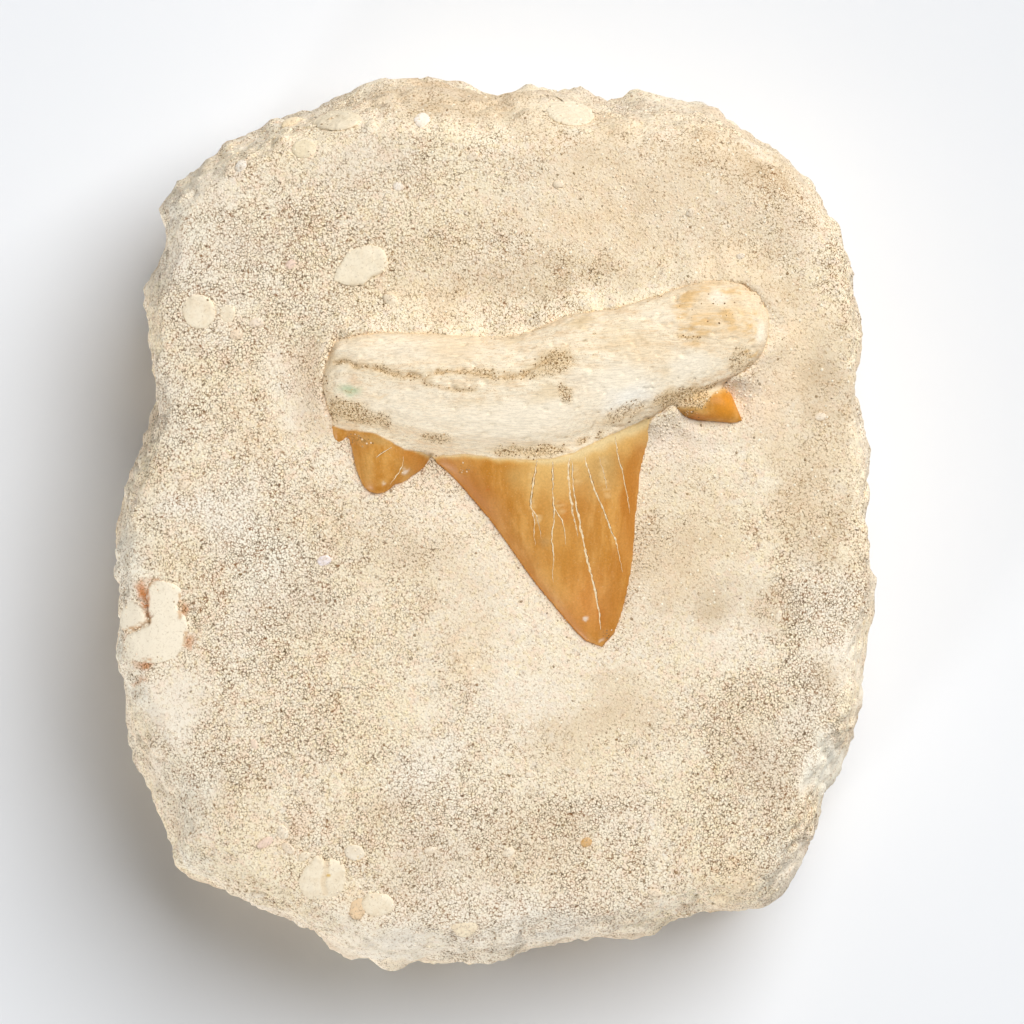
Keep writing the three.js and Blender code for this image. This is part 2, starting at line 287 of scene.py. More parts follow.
def welded(*nodes):
    """A copy of measured pieces in one bmesh, with their loose triangles joined."""
    shape = bmesh.new()
    for node in nodes:
        shape.from_mesh(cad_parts[node].data)
    bmesh.ops.remove_doubles(shape, verts=shape.verts, dist=0.0001 * MM)
    return shape


def new_piece(name, shape):
    """A bmesh becomes a smooth-shaded piece that belongs to the block."""
    data = bpy.data.meshes.new(name)
    shape.to_mesh(data)
    shape.free()
    data.shade_smooth()
    piece = bpy.data.objects.new(name, data)
    bpy.context.collection.objects.link(piece)
    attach(piece, "root")
    return piece


def bake_modifiers(piece):
    """Puts what the modifiers make of a piece into its mesh, and removes them."""
    bpy.context.view_layer.update()
    graph = bpy.context.evaluated_depsgraph_get()
    baked = bpy.data.meshes.new_from_object(piece.evaluated_get(graph))
    piece.modifiers.clear()
    faceted = piece.data
    piece.data = baked
    bpy.data.meshes.remove(faceted)
    baked.name = piece.name
    baked.shade_smooth()


def skinned(piece, square, smoothing, keep=None):
    """Lays a skin of squares, each square mm wide, over a piece and smooths it, except where keep is 1."""
    remesh = piece.modifiers.new("skin", "REMESH")
    remesh.mode = "VOXEL"
    remesh.voxel_size = square * MM
    bake_modifiers(piece)
    smooth = piece.modifiers.new("smooth", "SMOOTH")
    smooth.factor = 0.5
    smooth.iterations = smoothing
    if keep is not None:
        # Corners move freely where keep is 0, not at all where it is 1, and by quarters in between.
        held = np.round(keep(places_of(piece.data)) * 4)
        free = piece.vertex_groups.new(name="free")
        for quarters in range(1, 5):
            free.add(np.nonzero(held == 4 - quarters)[0].tolist(), quarters / 4, "REPLACE")
        smooth.vertex_group = "free"
    bake_modifiers(piece)
    piece.vertex_groups.clear()


def places_of(mesh):
    """Where a mesh's corners are, in mm, one row for each."""
    flat = np.empty(len(mesh.vertices) * 3, dtype=np.float32)
    mesh.vertices.foreach_get("co", flat)
    return flat.reshape(-1, 3).astype(float) / MM


def normals_of(mesh):
    """Which way a mesh faces at each corner."""
    flat = np.empty(len(mesh.vertices) * 3, dtype=np.float32)
    mesh.vertex_normals.foreach_get("vector", flat)
    return flat.reshape(-1, 3).astype(float)


def put_places(mesh, places):
    """Moves a mesh's corners to new places in mm."""
    mesh.vertices.foreach_set("co", (places * MM).astype(np.float32).ravel())
    mesh.update()


def put_values(mesh, name, values):
    """Writes one number for each corner, for the materials to read."""
    layer = mesh.attributes.get(name) or mesh.attributes.new(name, "FLOAT", "POINT")
    layer.data.foreach_set("value", np.asarray(values, dtype=np.float32))


# %% Noise for numbers in rows


def soft_step(values, low, high):
    """A soft step from 0 below low to 1 above high."""
    share = np.clip((np.asarray(values) - low) / (high - low), 0, 1)
    return share * share * (3 - 2 * share)


def lumps(places, size, seed=0.0, stretch=(1, 1, 1)):
    """Smooth noise from about -1 to 1 at each place. Its lumps are size mm across."""
    scaled = places / (size * np.array(stretch)) + np.array([seed, seed * 0.37, seed * 1.91])
    return np.array([noise.noise(point) for point in scaled.tolist()])


def crags(places, size, seed=0.0, stretch=(1, 1, 1)):
    """Noise with sharp valleys and round tops, from 0 in a valley to about 1 on a top."""
    return np.abs(lumps(places, size, seed, stretch)) * 1.6


def worn_lumps(places, size, seed=0.0, octaves=4):
    """Rough noise, from about -1 to 1, with finer and finer lumps down from size mm."""
    scaled = places / size + np.array([seed, seed * 0.61, seed * 1.37])
    return np.array([noise.fractal(point, 0.9, 2.0, octaves) for point in scaled.tolist()])


# %% [markdown]
# ## The block
# The measured block has a socket for the tooth and one for each pebble. The remesh would make ragged
# walls of them, so the walls are taken out and the openings filled. A wall face is one that looks
# straight at a bedded piece from close by. After the remesh the block is broken stone: its sides get deep
# rough breaks and faint bedding, and its upper face only gentle swells, as if it had been brushed level
# around the tooth by hand.

# %% The block without its sockets
bedded = [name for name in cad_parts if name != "matrix"]
bedded_shape = welded(*bedded)
bedded_tree = BVHTree.FromBMesh(bedded_shape)
bedded_shape.free()
socket_reach = 0.9 * MM
wall_distance = 0.5 * MM

block = welded("matrix")
block.normal_update()


def is_socket_wall(face):
    """Whether a face of the block belongs to a socket."""
    middle = face.calc_center_median()
    if bedded_tree.ray_cast(middle, face.normal, socket_reach)[0] is not None:
        return True
    near = bedded_tree.find_nearest(middle)[3] < wall_distance
    return near and face.normal.z < 0.95


def close_openings(shape):
    """Drops the loose scraps of a shape and fills its openings. Gives back how many edges stay open."""
    whole = max(islands(shape), key=len)
    scraps = [face for face in shape.faces if face not in whole]
    bmesh.ops.delete(shape, geom=scraps, context="FACES")
    openings = [edge for edge in shape.edges if edge.is_boundary]
    bmesh.ops.holes_fill(shape, edges=openings, sides=0)
    return sum(edge.is_boundary for edge in shape.edges)


def islands(shape):
    """The faces of a shape in sets that hang together."""
    waiting = set(shape.faces)
    found = []
    while waiting:
        island = {waiting.pop()}
        rim = list(island)
        while rim:
            for edge in rim.pop().edges:
                joined = waiting.intersection(edge.link_faces)
                waiting -= joined
                island |= joined
                rim.extend(joined)
        found.append(island)
    return found


walls = [face for face in block.faces if is_socket_wall(face)]
bmesh.ops.delete(block, geom=walls, context="FACES")
while close_openings(block) > 0:
    # Two rims that touch can't be filled, so the faces round them go and the wider opening is filled.
    touching = {vert for edge in block.edges if edge.is_boundary for vert in edge.verts}
    around = {face for vert in touching for face in vert.link_faces}
    bmesh.ops.delete(block, geom=list(around), context="FACES")
bmesh.ops.triangulate(block, faces=[face for face in block.faces if len(face.verts) > 4])
bmesh.ops.recalc_face_normals(block, faces=block.faces)
print("socket walls taken out:", len(walls), "volume in cubic mm:", round(block.calc_volume() / MM**3))

# %% The block's skin
stone = new_piece("sand_block", block)
skinned(stone, square=0.74, smoothing=4)

fine = bmesh.new()
fine.from_mesh(stone.data)
fine_above = 19.5 * MM
upper = [edge for edge in fine.edges if min(vert.co.z for vert in edge.verts) > fine_above]
bmesh.ops.subdivide_edges(fine, edges=upper, cuts=1, use_grid_fill=True)
fine.to_mesh(stone.data)
fine.free()
print("corners in the block's skin:", len(stone.data.vertices))

# %% [markdown]
# ## Breaking the stone
# Three sizes of noise make the broken sides: breaks just under a centimetre across, chips about two
# millimetres across and the roughness of single grains. A layered noise, wide and thin, gives the faint
# bedding. All of them fade to almost nothing on the upper face and on the flat underside.

# %% Broken sides and the swells of the upper face
places = places_of(stone.data)
facing = normals_of(stone.data)
height = places[:, 2]
upness = facing[:, 2]

on_top = soft_step(upness, 0.55, 0.92) * soft_step(height, 20, 24)
on_base = soft_step(-upness, 0.6, 0.9) * soft_step(-height, -3, -0.5)
on_side = np.clip(1 - on_top - on_base, 0, 1)

below_rim = 1 - soft_step(height, 14, 23)
breaks = -(0.4 + 0.7 * below_rim) * (1 - crags(places, 6.5, 3.1))
breaks = breaks + (0.15 + 0.4 * below_rim) * lumps(places, 11, 8.2)
chips = -0.5 * (1 - crags(places, 2.2, 5.7))
bedding = (0.12 + 0.2 * below_rim) * lumps(places, 1.0, 1.3, stretch=(9, 9, 1.3))
roughness = 0.2 * worn_lumps(places, 0.9, 2.2, octaves=2)
swells = 0.10 * lumps(places, 4.5, 7.7) + 0.06 * lumps(places, 1.7, 4.4) + 0.035 * lumps(places, 0.7, 9.1)

push = on_side * (breaks + chips + bedding + roughness + 0.62) + on_top * swells
places = places + facing * push[:, None]
places[:, 2] = np.where(on_base > 0.5, 0.12 * (1 + lumps(places, 1.5, 6.6)), places[:, 2])
places[:, 2] = np.maximum(places[:, 2], 0.0)
print("push in mm, deepest and highest:", round(push.min(), 2), round(push.max(), 2))

put_places(stone.data, places)
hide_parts("matrix")

# %% [markdown]
# ## Marks on the plan
# Stains, cracks and clinging sand are laid out as on a map, in millimetres, seen from above. Two measures
# place them: how near a point is to a drawn path, and how deep it is inside an oval. A little noise on
# the plan makes their edges ragged, as real stains are.

# %% Measures on the plan


def near_path(plan, points, width):
    """1 on a path through points, falling softly to 0 at width mm from it."""
    nearest = np.full(len(plan), far)
    for start, end in zip(points, points[1:]):
        along = np.subtract(end, start)
        offset = plan[:, :2] - np.array(start)
        share = np.clip(offset @ along / (along @ along), 0, 1)
        gap = offset - share[:, None] * along
        nearest = np.minimum(nearest, np.hypot(gap[:, 0], gap[:, 1]))
    return 1 - soft_step(nearest, width * 0.35, width)


def in_oval(plan, x, y, half_width, half_height, turn=0.0, core=0.45):
    """1 in the core of an oval, falling softly to 0 at its edge. turn is in degrees."""
    angle = math.radians(turn)
    offset = plan[:, :2] - np.array([x, y])
    across = offset @ np.array([math.cos(angle), math.sin(angle)]) / half_width
    along = offset @ np.array([-math.sin(angle), math.cos(angle)]) / half_height
    return 1 - soft_step(np.hypot(across, along), core, 1.32 - core / 2)


def ragged(places, size, reach, seed=0.0):
    """The places, shaken by up to reach mm, so that marks drawn on them get uneven edges."""
    rightward, upward = lumps(places, size, seed), lumps(places, size, seed + 31)
    shake = np.stack([rightward, upward, np.zeros(len(places))], axis=1)
    return places + shake * reach


def put_colors(mesh, name, colors):
    """Writes a colour and its strength for each corner, for the materials to read."""
    layer = mesh.attributes.get(name) or mesh.attributes.new(name, "FLOAT_COLOR", "POINT")
    layer.data.foreach_set("color", np.asarray(colors, dtype=np.float32).ravel())


class Stains:
    """Thin washes of colour, each laid over the ones before."""

    def __init__(self, count):
        self.colors = np.zeros((count, 4))

    def wash(self, color, mask, strength=1.0):
        cover = np.clip(mask * strength, 0, 1)
        below = self.colors[:, 3] * (1 - cover)
        total = cover + below
        share = np.divide(cover, total, out=np.zeros_like(cover), where=total > 0)
        self.colors[:, :3] += (np.array(color[:3]) - self.colors[:, :3]) * share[:, None]
        self.colors[:, 3] = total


# %% [markdown]
# ## The tooth
# The tooth's skin is finer than the block's. The smoothing would round off its cutting edges, so it is
# held back near the plane of those edges. The root is bone, with fibres along its length, swells, pits
# and one long fissure, and all of these go into its shape. The crown is enamel and stays smooth.

# %% The tooth's skin
tooth = new_piece("tooth", welded("shark_tooth"))
edge_level = 27.0


def near_edges(places):
    """1 in the plane of the cutting edges, falling softly to 0 away from it."""
    return 1 - soft_step(np.abs(places[:, 2] - edge_level), 0.12, 0.7)


skinned(tooth, square=0.2, smoothing=70, keep=near_edges)
places = places_of(tooth.data)
facing = normals_of(tooth.data)
print("corners in the tooth's skin:", len(places))

# The line between root and enamel, from left to right.
neck_line = [
    (-18, 10.8), (-16.9, 10.3), (-16.3, 9.6), (-15.5, 9.35), (-14.5, 9.1), (-12.5, 8.8), (-11.5, 8.5),
    (-10.5, 8), (-9.7, 7.5), (-9, 7.1), (-8, 7), (-7, 6.7), (-6, 6.35), (-5, 6.5), (-3, 6.6), (-1, 6.4),
    (0, 6.2), (2.5, 6.1), (4, 6.1), (5.5, 6.2), (7, 6.5), (8, 6.8), (9, 7.3), (10, 7.8), (11, 8.3),
    (12, 8.7), (13, 9.2), (14, 9.6), (15, 10), (16, 10.4), (17, 10.9), (18.2, 11.3), (19.5, 11.4),
    (20.7, 11.3), (21.3, 12.1), (22, 12.9), (22.8, 13.3), (23.8, 13.1), (28, 14),
]
neck_x, neck_y = np.array(neck_line).T
below_neck = np.interp(places[:, 0], neck_x, neck_y) - places[:, 1]
below_neck += 0.12 * lumps(places, 1.3, 21.0) + 0.06 * lumps(places, 0.4, 5.0)
enamel = soft_step(below_neck, -0.1, 0.15)

# %% The root's fibres, pits and fissure
fissure = [
    (-16, 15.8), (-15, 16), (-14, 15.4), (-12, 15.2), (-11, 15.1), (-10, 14.6), (-9, 14.5), (-8, 14.5),
    (-7, 14), (-6.4, 14.6), (-5, 14.9), (-3, 14.8), (-1, 14.5), (0, 14.3), (1.5, 14.3), (3, 14.5),
    (5, 15.8), (7, 16.5),
]
fissure_branch = [(-7, 13.6), (-5.5, 13.3), (-4, 13), (-2, 12.9)]
shaken = ragged(places, 0.8, 0.3, 4.0)
broken = soft_step(lumps(places, 0.9, 33.0), -0.25, 0.15)
cleft = near_path(shaken, fissure, 0.38) * (0.3 + 0.7 * broken)
cleft = np.maximum(cleft, 0.5 * near_path(shaken, fissure_branch, 0.3))

fibres = 0.06 * lumps(places, 0.45, 3.0, stretch=(6, 1, 1))
fibres = fibres + 0.05 * lumps(places, 0.3, 8.0, stretch=(3, 1, 1))
root_swells = 0.14 * lumps(places, 3.2, 2.0, stretch=(1.8, 1, 1))
root_swells = root_swells + 0.09 * lumps(places, 1.1, 6.0, stretch=(2, 1, 1))
pits = -0.15 * soft_step(lumps(places, 0.5, 14.0, stretch=(1.6, 1, 1)), 0.3, 0.6)
root_push = fibres + root_swells + pits - 0.15 * cleft
crown_push = 0.02 * lumps(places, 2.6, 11.0)
edge_hold = soft_step(np.abs(places[:, 2] - edge_level), 0.05, 0.5)
push = (root_push * (1 - enamel) + crown_push * enamel) * edge_hold
put_places(tooth.data, places + facing * push[:, None])
put_values(tooth.data, "below_neck", below_neck)
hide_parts("shark_tooth")

# %% [markdown]
# ## Colours of the tooth
# The root is cream, with ochre where iron stained it and grey-brown sand caught in the fissure and in the
# hollow above the enamel. Its lower flank, which faces away from the key lamp, carries paler washes of
# painted light. The enamel is honey brown. Next to the root it is a pale band, narrow at the left and wide
# at the right.

# %% Stains on the tooth
is_root = 1 - enamel
shaken = ragged(places, 1.2, 0.5, 9.0)
finely_shaken = ragged(places, 0.5, 0.25, 19.0)
stains = Stains(len(places))
ivory_and_painted_light, ochre, biscuit = tone(254, 241, 217), tone(232, 190, 128), tone(240, 213, 173)
rust, tan, grey_buff = tone(222, 166, 104), tone(232, 206, 164), tone(226, 212, 190)
leaf_green, dark_olive, painted_light_cream = tone(150, 186, 138), tone(150, 118, 70), tone(255, 250, 238)

# Each row is a colour and its ovals: x, y, half width, half height, strength and perhaps a turn.
root_washes = [
    (ivory_and_painted_light, (3, 10, 9, 3.2, 0.9, 10), (19, 15.4, 3.4, 1.8, 0.9, 10), (13.8, 15, 1.4, 1, 0.8),
     (-4, 10, 6, 1.8, 0.6)),
    (grey_buff, (-6, 17, 8, 1, 0.3), (14.5, 21.9, 1.3, 0.6, 0.8, 10)),
    (tan, (-16.8, 16.8, 1.1, 2.4, 0.9, 12), (-10.5, 19.1, 3.6, 0.5, 0.8), (8.6, 19.7, 1.8, 0.8, 0.8, 20),
     (17, 14.6, 1, 1.1, 0.5), (-12, 12.3, 1.4, 0.5, 0.5), (-3.6, 13.2, 1.6, 0.4, 0.6),
     (5.4, 12.6, 2.2, 1.1, 0.55, 10), (2, 18.2, 1.6, 0.6, 0.4, 25), (2.5, 6.8, 4.5, 0.7, 0.4)),
    (rust, (-16.7, 17.4, 0.5, 1.8, 0.5, 10), (-14, 14, 0.8, 0.5, 0.4), (-5.4, 13.1, 0.7, 0.3, 0.4)),
    (leaf_green, (-14.5, 13, 1.5, 0.75, 1, -10),),
    (ochre, (-11.5, 12.5, 1.1, 0.22, 0.9), (-16.6, 10.8, 0.5, 0.9, 0.6), (20.4, 12.3, 2.2, 0.9, 0.8, 20)),
    (tan, (-13.4, 10.6, 4.6, 1.3, 0.6, -14), (12.8, 10.9, 3.4, 1.2, 0.4, 22), (18.2, 12.4, 3, 1, 0.8, 14),
     (5.4, 15.6, 2.6, 1.5, 0.5, 20), (3.4, 7, 4.4, 0.8, 0.5, 4), (12.5, 17.8, 3.6, 0.9, 0.4, 10),
     (12, 19, 4, 0.8, 0.3, 14), (-2.5, 11.6, 3.4, 0.5, 0.3, 4), (-9, 11.6, 2.6, 0.4, 0.35, -6),
     (-6, 18.4, 3, 0.4, 0.35, -2)),
    (dark_olive, (14.8, 18, 0.25, 0.9, 0.5, 50), (9, 18, 0.5, 0.22, 0.5, 20),
     (15.4, 17.6, 0.6, 0.18, 0.5, 10)),
    (grey_buff, (8, 14.2, 1.4, 0.8, 0.5),),
    (biscuit, (23, 20.4, 6.2, 4.2, 0.7, -8),),
    # Painted light: the ivory and cream washes over the root's lower flank, which faces away from the key
    # lamp, lighten it as if it were lit.
    (ivory_and_painted_light, (16.4, 20.6, 2, 1.2, 0.5), (13.5, 13.3, 3.4, 1.3, 0.8, 12), (20, 15.6, 3, 1.2, 0.8),
     (-10, 10.6, 5, 1.2, 0.6, -8), (-15, 15, 1.6, 3.4, 0.5), (11.5, 13.8, 4.4, 2.6, 0.9, 15),
     (-9, 12.2, 7, 2, 0.6), (-8, 17, 8, 1.6, 0.4)),
    (painted_light_cream, (13.5, 12, 3.6, 1.6, 0.8, 20),),
    (biscuit, (-4.3, 17.2, 3.6, 1.8, 0.5), (15, 17.2, 3.6, 2.4, 0.5)),
    (ivory_and_painted_light, (18, 14, 3, 1.2, 0.6, 12),),
]
for color, *ovals in root_washes:
    for x, y, half_width, half_height, strength, *turn in ovals:
        mask = in_oval(shaken, x, y, half_width, half_height, *turn, core=0.2)
        stains.wash(color, mask * is_root, strength)

lengthwise = lumps(places, 0.42, 40.0, stretch=(4, 0.8, 1))
streaky = soft_step(lengthwise + 0.6 * lumps(places, 0.2, 7.0, stretch=(3, 1, 1)), -0.45, 0.4)
ochre_arcs = [
    ([(18.6, 20.8), (18.9, 22.2), (20.2, 23.3), (22.4, 23.8), (25.2, 23.2)], 1.1),
    ([(19.6, 18.6), (21.2, 19.6), (23.4, 20.1), (26.0, 19.4)], 1.7), ([(25.2, 16.6), (27.0, 16.4)], 0.7),
]
for path, width in ochre_arcs:
    stains.wash(ochre, near_path(shaken, path, width) * streaky * is_root, 0.8)
root_end_spots = [
    (ivory_and_painted_light, 22.3, 22.3, 1.3, 0.8), (ivory_and_painted_light, 26.7, 18.8, 0.9, 1.6), (dark_olive, 25.8, 15.4, 0.6, 0.2),
]
for color, *oval in root_end_spots:
    stains.wash(color, in_oval(shaken, *oval, core=0.3) * is_root, 0.9)
dark_edge = [(-3.3, 18.8), (-0.6, 18.85), (2, 18.6)]
stains.wash(dark_olive, near_path(shaken, dark_edge, 0.22) * is_root, 0.5)
stains.wash(tan, near_path(shaken, fissure, 0.9) * is_root, 0.35)
in_fissure = np.maximum(0.8 * cleft, near_path(finely_shaken, fissure, 0.14))
stains.wash(tone(190, 148, 96), in_fissure * is_root, 0.55)

deep_amber, honey, straw = tone(192, 120, 38), tone(214, 152, 76), tone(234, 190, 116)
khaki, neck_cream, smoke = tone(204, 164, 100), tone(240, 214, 160), tone(176, 140, 96)
rust_orange, chalk, copper = tone(204, 116, 40), tone(240, 220, 196), tone(222, 148, 80)
vivid_orange = tone(226, 148, 46)
crown_washes = [
    (deep_amber, (-2.2, 3, 5, 2.8, 0.9, -40),),
    (straw, (6, 4.6, 4.8, 3.6, 0.9),),
    (khaki, (11, 5.8, 3, 3.8, 0.85, 15), (-11.6, 8.1, 2, 0.7, 0.7, -15), (-8.2, 5.6, 1.7, 1.8, 0.7),
     (19.8, 11.6, 1.6, 1, 0.6)),
    (honey, (6.5, -1.5, 3.6, 6.5, 0.5),),
    (deep_amber, (13.3, 2.5, 1.1, 6.5, 0.6, 5), (2.2, -3.6, 1.1, 7, 0.5, 34)),
    (copper, (9.4, -8.5, 3, 4.5, 0.6),),
    (smoke, (5, -2, 0.8, 0.8, 0.4), (14.8, 8, 0.9, 2, 0.5, -25)),
    (straw, (-12.6, 5, 0.8, 2, 0.3), (5.9, -0.5, 1.6, 3, 0.3)),
    (rust_orange, (20, 10.4, 2.6, 0.5, 0.6, 4),),
    (vivid_orange, (23.2, 11.4, 1.7, 1.9, 0.9),),
    (deep_amber, (-11.2, 3.6, 1.6, 0.9, 0.4), (8.6, 2.4, 0.9, 3.4, 0.35, 12)),
    (khaki, (2, 4.4, 1.2, 1.2, 0.4),),
    (rust_orange, (6.9, 0.7, 0.8, 1.6, 0.35, 20), (-0.7, 3.1, 0.15, 0.15, 0.9),
     (6.3, -8.1, 0.22, 0.2, 0.9), (10.6, -9.6, 0.5, 1.6, 0.4, 10)),
    (chalk, (9.1, -9.8, 0.36, 0.27, 0.9, -20), (10.7, -12, 0.35, 0.22, 0.6, 30),
     (-11.1, 3.7, 0.2, 0.28, 0.8), (-8.9, 4.9, 0.5, 0.36, 0.95, 30)),
    (straw, (-11, 3.8, 0.9, 0.5, 0.4),),
]
for color, *ovals in crown_washes:
    for x, y, half_width, half_height, strength, *turn in ovals:
        plan, core = (finely_shaken, 0.4) if half_width < 0.6 else (shaken, 0.0)
        mask = in_oval(plan, x, y, half_width, half_height, *turn, core=core)
        stains.wash(color, mask * enamel, strength)
left_edge = [(-8, 6.2), (-6.5, 4.6), (-2.6, 0.4), (1, -4), (4.6, -8.4), (8, -12)]
right_edge = [(15.2, 9.4), (14, 4), (13.1, -1), (12.2, -6), (11.2, -11)]
stains.wash(tone(204, 128, 44), near_path(shaken, left_edge, 1.7) * enamel, 0.6)
stains.wash(tone(190, 122, 50), near_path(shaken, right_edge, 1.5) * enamel, 0.55)
pale_streaks = [
    ([(3.7, 2.2), (4.0, 1.0), (4.4, 0.2)], 0.6, 0.5), ([(5.9, 2.2), (6.6, 0.9)], 0.6, 0.4),
    ([(10.6, 6.2), (11.2, 2.6)], 0.6, 0.4), ([(7.5, 6.6), (8.1, 4.2)], 0.8, 0.5),
    ([(4.2, 6.0), (3.9, 3.6)], 0.6, 0.35),
]
for path, width, strength in pale_streaks:
    stains.wash(tone(242, 206, 146), near_path(shaken, path, width) * streaky * enamel, strength)

# The pale band beside the neck widens from the left of the main crown to its right.
rightward = soft_step(places[:, 0], 1, 11)
on_cusplets = soft_step(places[:, 0], 16.5, 17.5) + soft_step(-places[:, 0], 7.5, 8.5)
band_width = (0.16 + 0.85 * rightward) * (1 - 0.8 * on_cusplets) * (1 + 0.5 * lumps(places, 1.4, 51.0))
outer_band = enamel * (1 - soft_step(below_neck, band_width, band_width * 3.4))
inner_band = enamel * (1 - soft_step(below_neck, band_width * 0.4, band_width * 1.6))
stains.wash(straw, outer_band, 0.7 * (1 - 0.6 * on_cusplets))
stains.wash(neck_cream, inner_band, 0.85 * (1 - 0.5 * on_cusplets))
put_colors(tooth.data, "stain", stains.colors)
print("share of the tooth with a stain:", round(float((stains.colors[:, 3] > 0.1).mean()), 2))

# %% Sand caught on the tooth
# Each oval is x, y, half width, half height, amount and perhaps a turn.
sandy_ovals = [
    (6, 15.7, 2.6, 1.6, 0.9, 20), (7.1, 12.6, 0.9, 1.4, 1, 25), (-15.9, 11, 1.2, 1.6, 1),
    (-13.4, 10.4, 3, 0.9, 1, -10), (-11.1, 10.1, 1.1, 0.9, 0.9, -35), (-5.8, 8.2, 1.9, 0.6, 1, -6),
    (-14.5, 11.2, 2.8, 1, 1, -12), (1.6, 6.9, 2.2, 0.7, 0.9), (4.9, 6.9, 2.8, 0.8, 1, 6),
    (8.7, 7.9, 0.9, 0.4, 0.9, 25), (10.6, 8.6, 0.8, 0.4, 0.9, 30), (13, 10.8, 3, 1, 0.75, 22),
    (18.4, 12.2, 3.2, 1.2, 1, 12), (20.2, 12, 2, 1.2, 1, 24), (20, 11.3, 1.2, 0.5, 0.8),
    (24.4, 16, 1.2, 2, 0.8, -25), (-13.5, 8.1, 1.5, 0.7, 0.8, -25), (-3, 5.2, 0.9, 0.8, 0.6),
    (21.6, 13.4, 1, 0.3, 1, 25), (21.2, 12.2, 0.9, 0.6, 0.9, 30), (11.2, -11.6, 0.9, 0.9, 0.35),
    (3, 14.4, 2.4, 0.4, 0.8), (22.4, 12.9, 1.3, 0.4, 0.6, 35), (-2, 14.8, 3.2, 0.45, 0.8),
    (-8.6, 14.3, 1.8, 0.4, 0.8, -8), (10, 18.6, 0.2, 0.2, 0.8), (13.1, 17, 0.2, 0.2, 0.8),
    (19.4, 10.7, 1.6, 0.5, 0.8, -6), (22, 20.6, 4.4, 2.4, 0.15, -10), (-16.6, 13.6, 0.6, 2.6, 0.3),
    (25.6, 15.4, 0.9, 0.6, 0.9, 30), (-8.9, 5, 0.6, 0.5, 0.5, 30), (19.5, 18.2, 2, 0.5, 0.5, -10),
    (-15, 14.6, 1, 0.4, 0.4), (-14.6, 12.8, 0.7, 0.3, 0.7, -15),
]
sandy = near_path(finely_shaken, fissure, 0.42) * (0.3 + 0.7 * broken)
sandy = np.maximum(sandy, 0.5 * near_path(finely_shaken, fissure_branch, 0.4))
for x, y, half_width, half_height, amount, *turn in sandy_ovals:
    sandy = np.maximum(sandy, amount * in_oval(finely_shaken, x, y, half_width, half_height, *turn))
print("share of the tooth with sand on it:", round(float((sandy > 0.4).mean()), 3))

# %% [markdown]
# ## Cracks in the enamel
# The enamel has dried and split along the tooth, and cream-coloured mineral fills the splits. A filled
# crack is a slender thread let into the surface: a pale one for the filling, and under it a wider dark one
# whose borders show on either side as painted shade, the shadow along the crack's sides. Each thread
# follows the enamel: rays sent down find the surface under the crack's path.

# %% Threads let into a surface
# In mm: how high rays that look down start, and how far apart the points of a thread are.
ray_top = 45.0
thread_step = 0.12


def surface_tree(piece):
    """A piece's finished surface, ready for rays."""
    shape = bmesh.new()
    shape.from_mesh(piece.data)
    tree = BVHTree.FromBMesh(shape)
    shape.free()
    return tree


def dropped(tree, x, y):
    """Where a ray sent down at x, y in mm meets a surface, and which way the surface faces there."""
    return tree.ray_cast(Vector((x, y, ray_top)) * MM, Vector((0, 0, -1)))[:2]


def thread_points(path, surface, sink, seed):
    """Points close together along a path of (x, y, half width), laid sink half widths under the surface."""
    rows = []
    for start, end in zip(path, path[1:]):
        start, end = np.array(start), np.array(end)
        steps = max(1, round(math.dist(start[:2], end[:2]) / thread_step))
        rows += [start + (end - start) * number / steps for number in range(steps)]
    rows.append(np.array(path[-1]))
    laid = []
    for x, y, width in rows:
        shift = 0.08 * noise.noise((x * 2.2 + seed, y * 2.2, seed))
        width *= 1 + 0.75 * noise.noise((x * 3, y * 3, seed))
        hit, facing_out = dropped(surface, x + shift, y)
        if hit is not None:
            laid.append((hit - facing_out * width * sink * MM, width))
    return laid


def threads_piece(name, paths, surface, widen, sink):
    """All threads of one kind as one piece, widen times as wide and sunk by sink half widths."""
    data = bpy.data.curves.new(name, "CURVE")
    data.dimensions = "3D"
    data.bevel_depth = 1.0
    data.bevel_resolution = 1
    data.use_fill_caps = True
    for number, path in enumerate(paths):
        laid = thread_points(path, surface, sink, 3.7 * number + 1)
        spline = data.splines.new("POLY")
        spline.points.add(len(laid) - 1)
        for (point, width), target in zip(laid, spline.points):
            target.co = (*point, 1)
            target.radius = width * widen * MM
    shaper = bpy.data.objects.new(name + "_path", data)
    bpy.context.collection.objects.link(shaper)
    bpy.context.view_layer.update()
    mesh = bpy.data.meshes.new_from_object(shaper.evaluated_get(bpy.context.evaluated_depsgraph_get()))
    bpy.data.objects.remove(shaper)
    shape = bmesh.new()
    shape.from_mesh(mesh)
    bpy.data.meshes.remove(mesh)
    bmesh.ops.remove_doubles(shape, verts=shape.verts, dist=0.0005 * MM)
    bmesh.ops.recalc_face_normals(shape, faces=shape.faces)
    piece = new_piece(name, shape)
    return piece


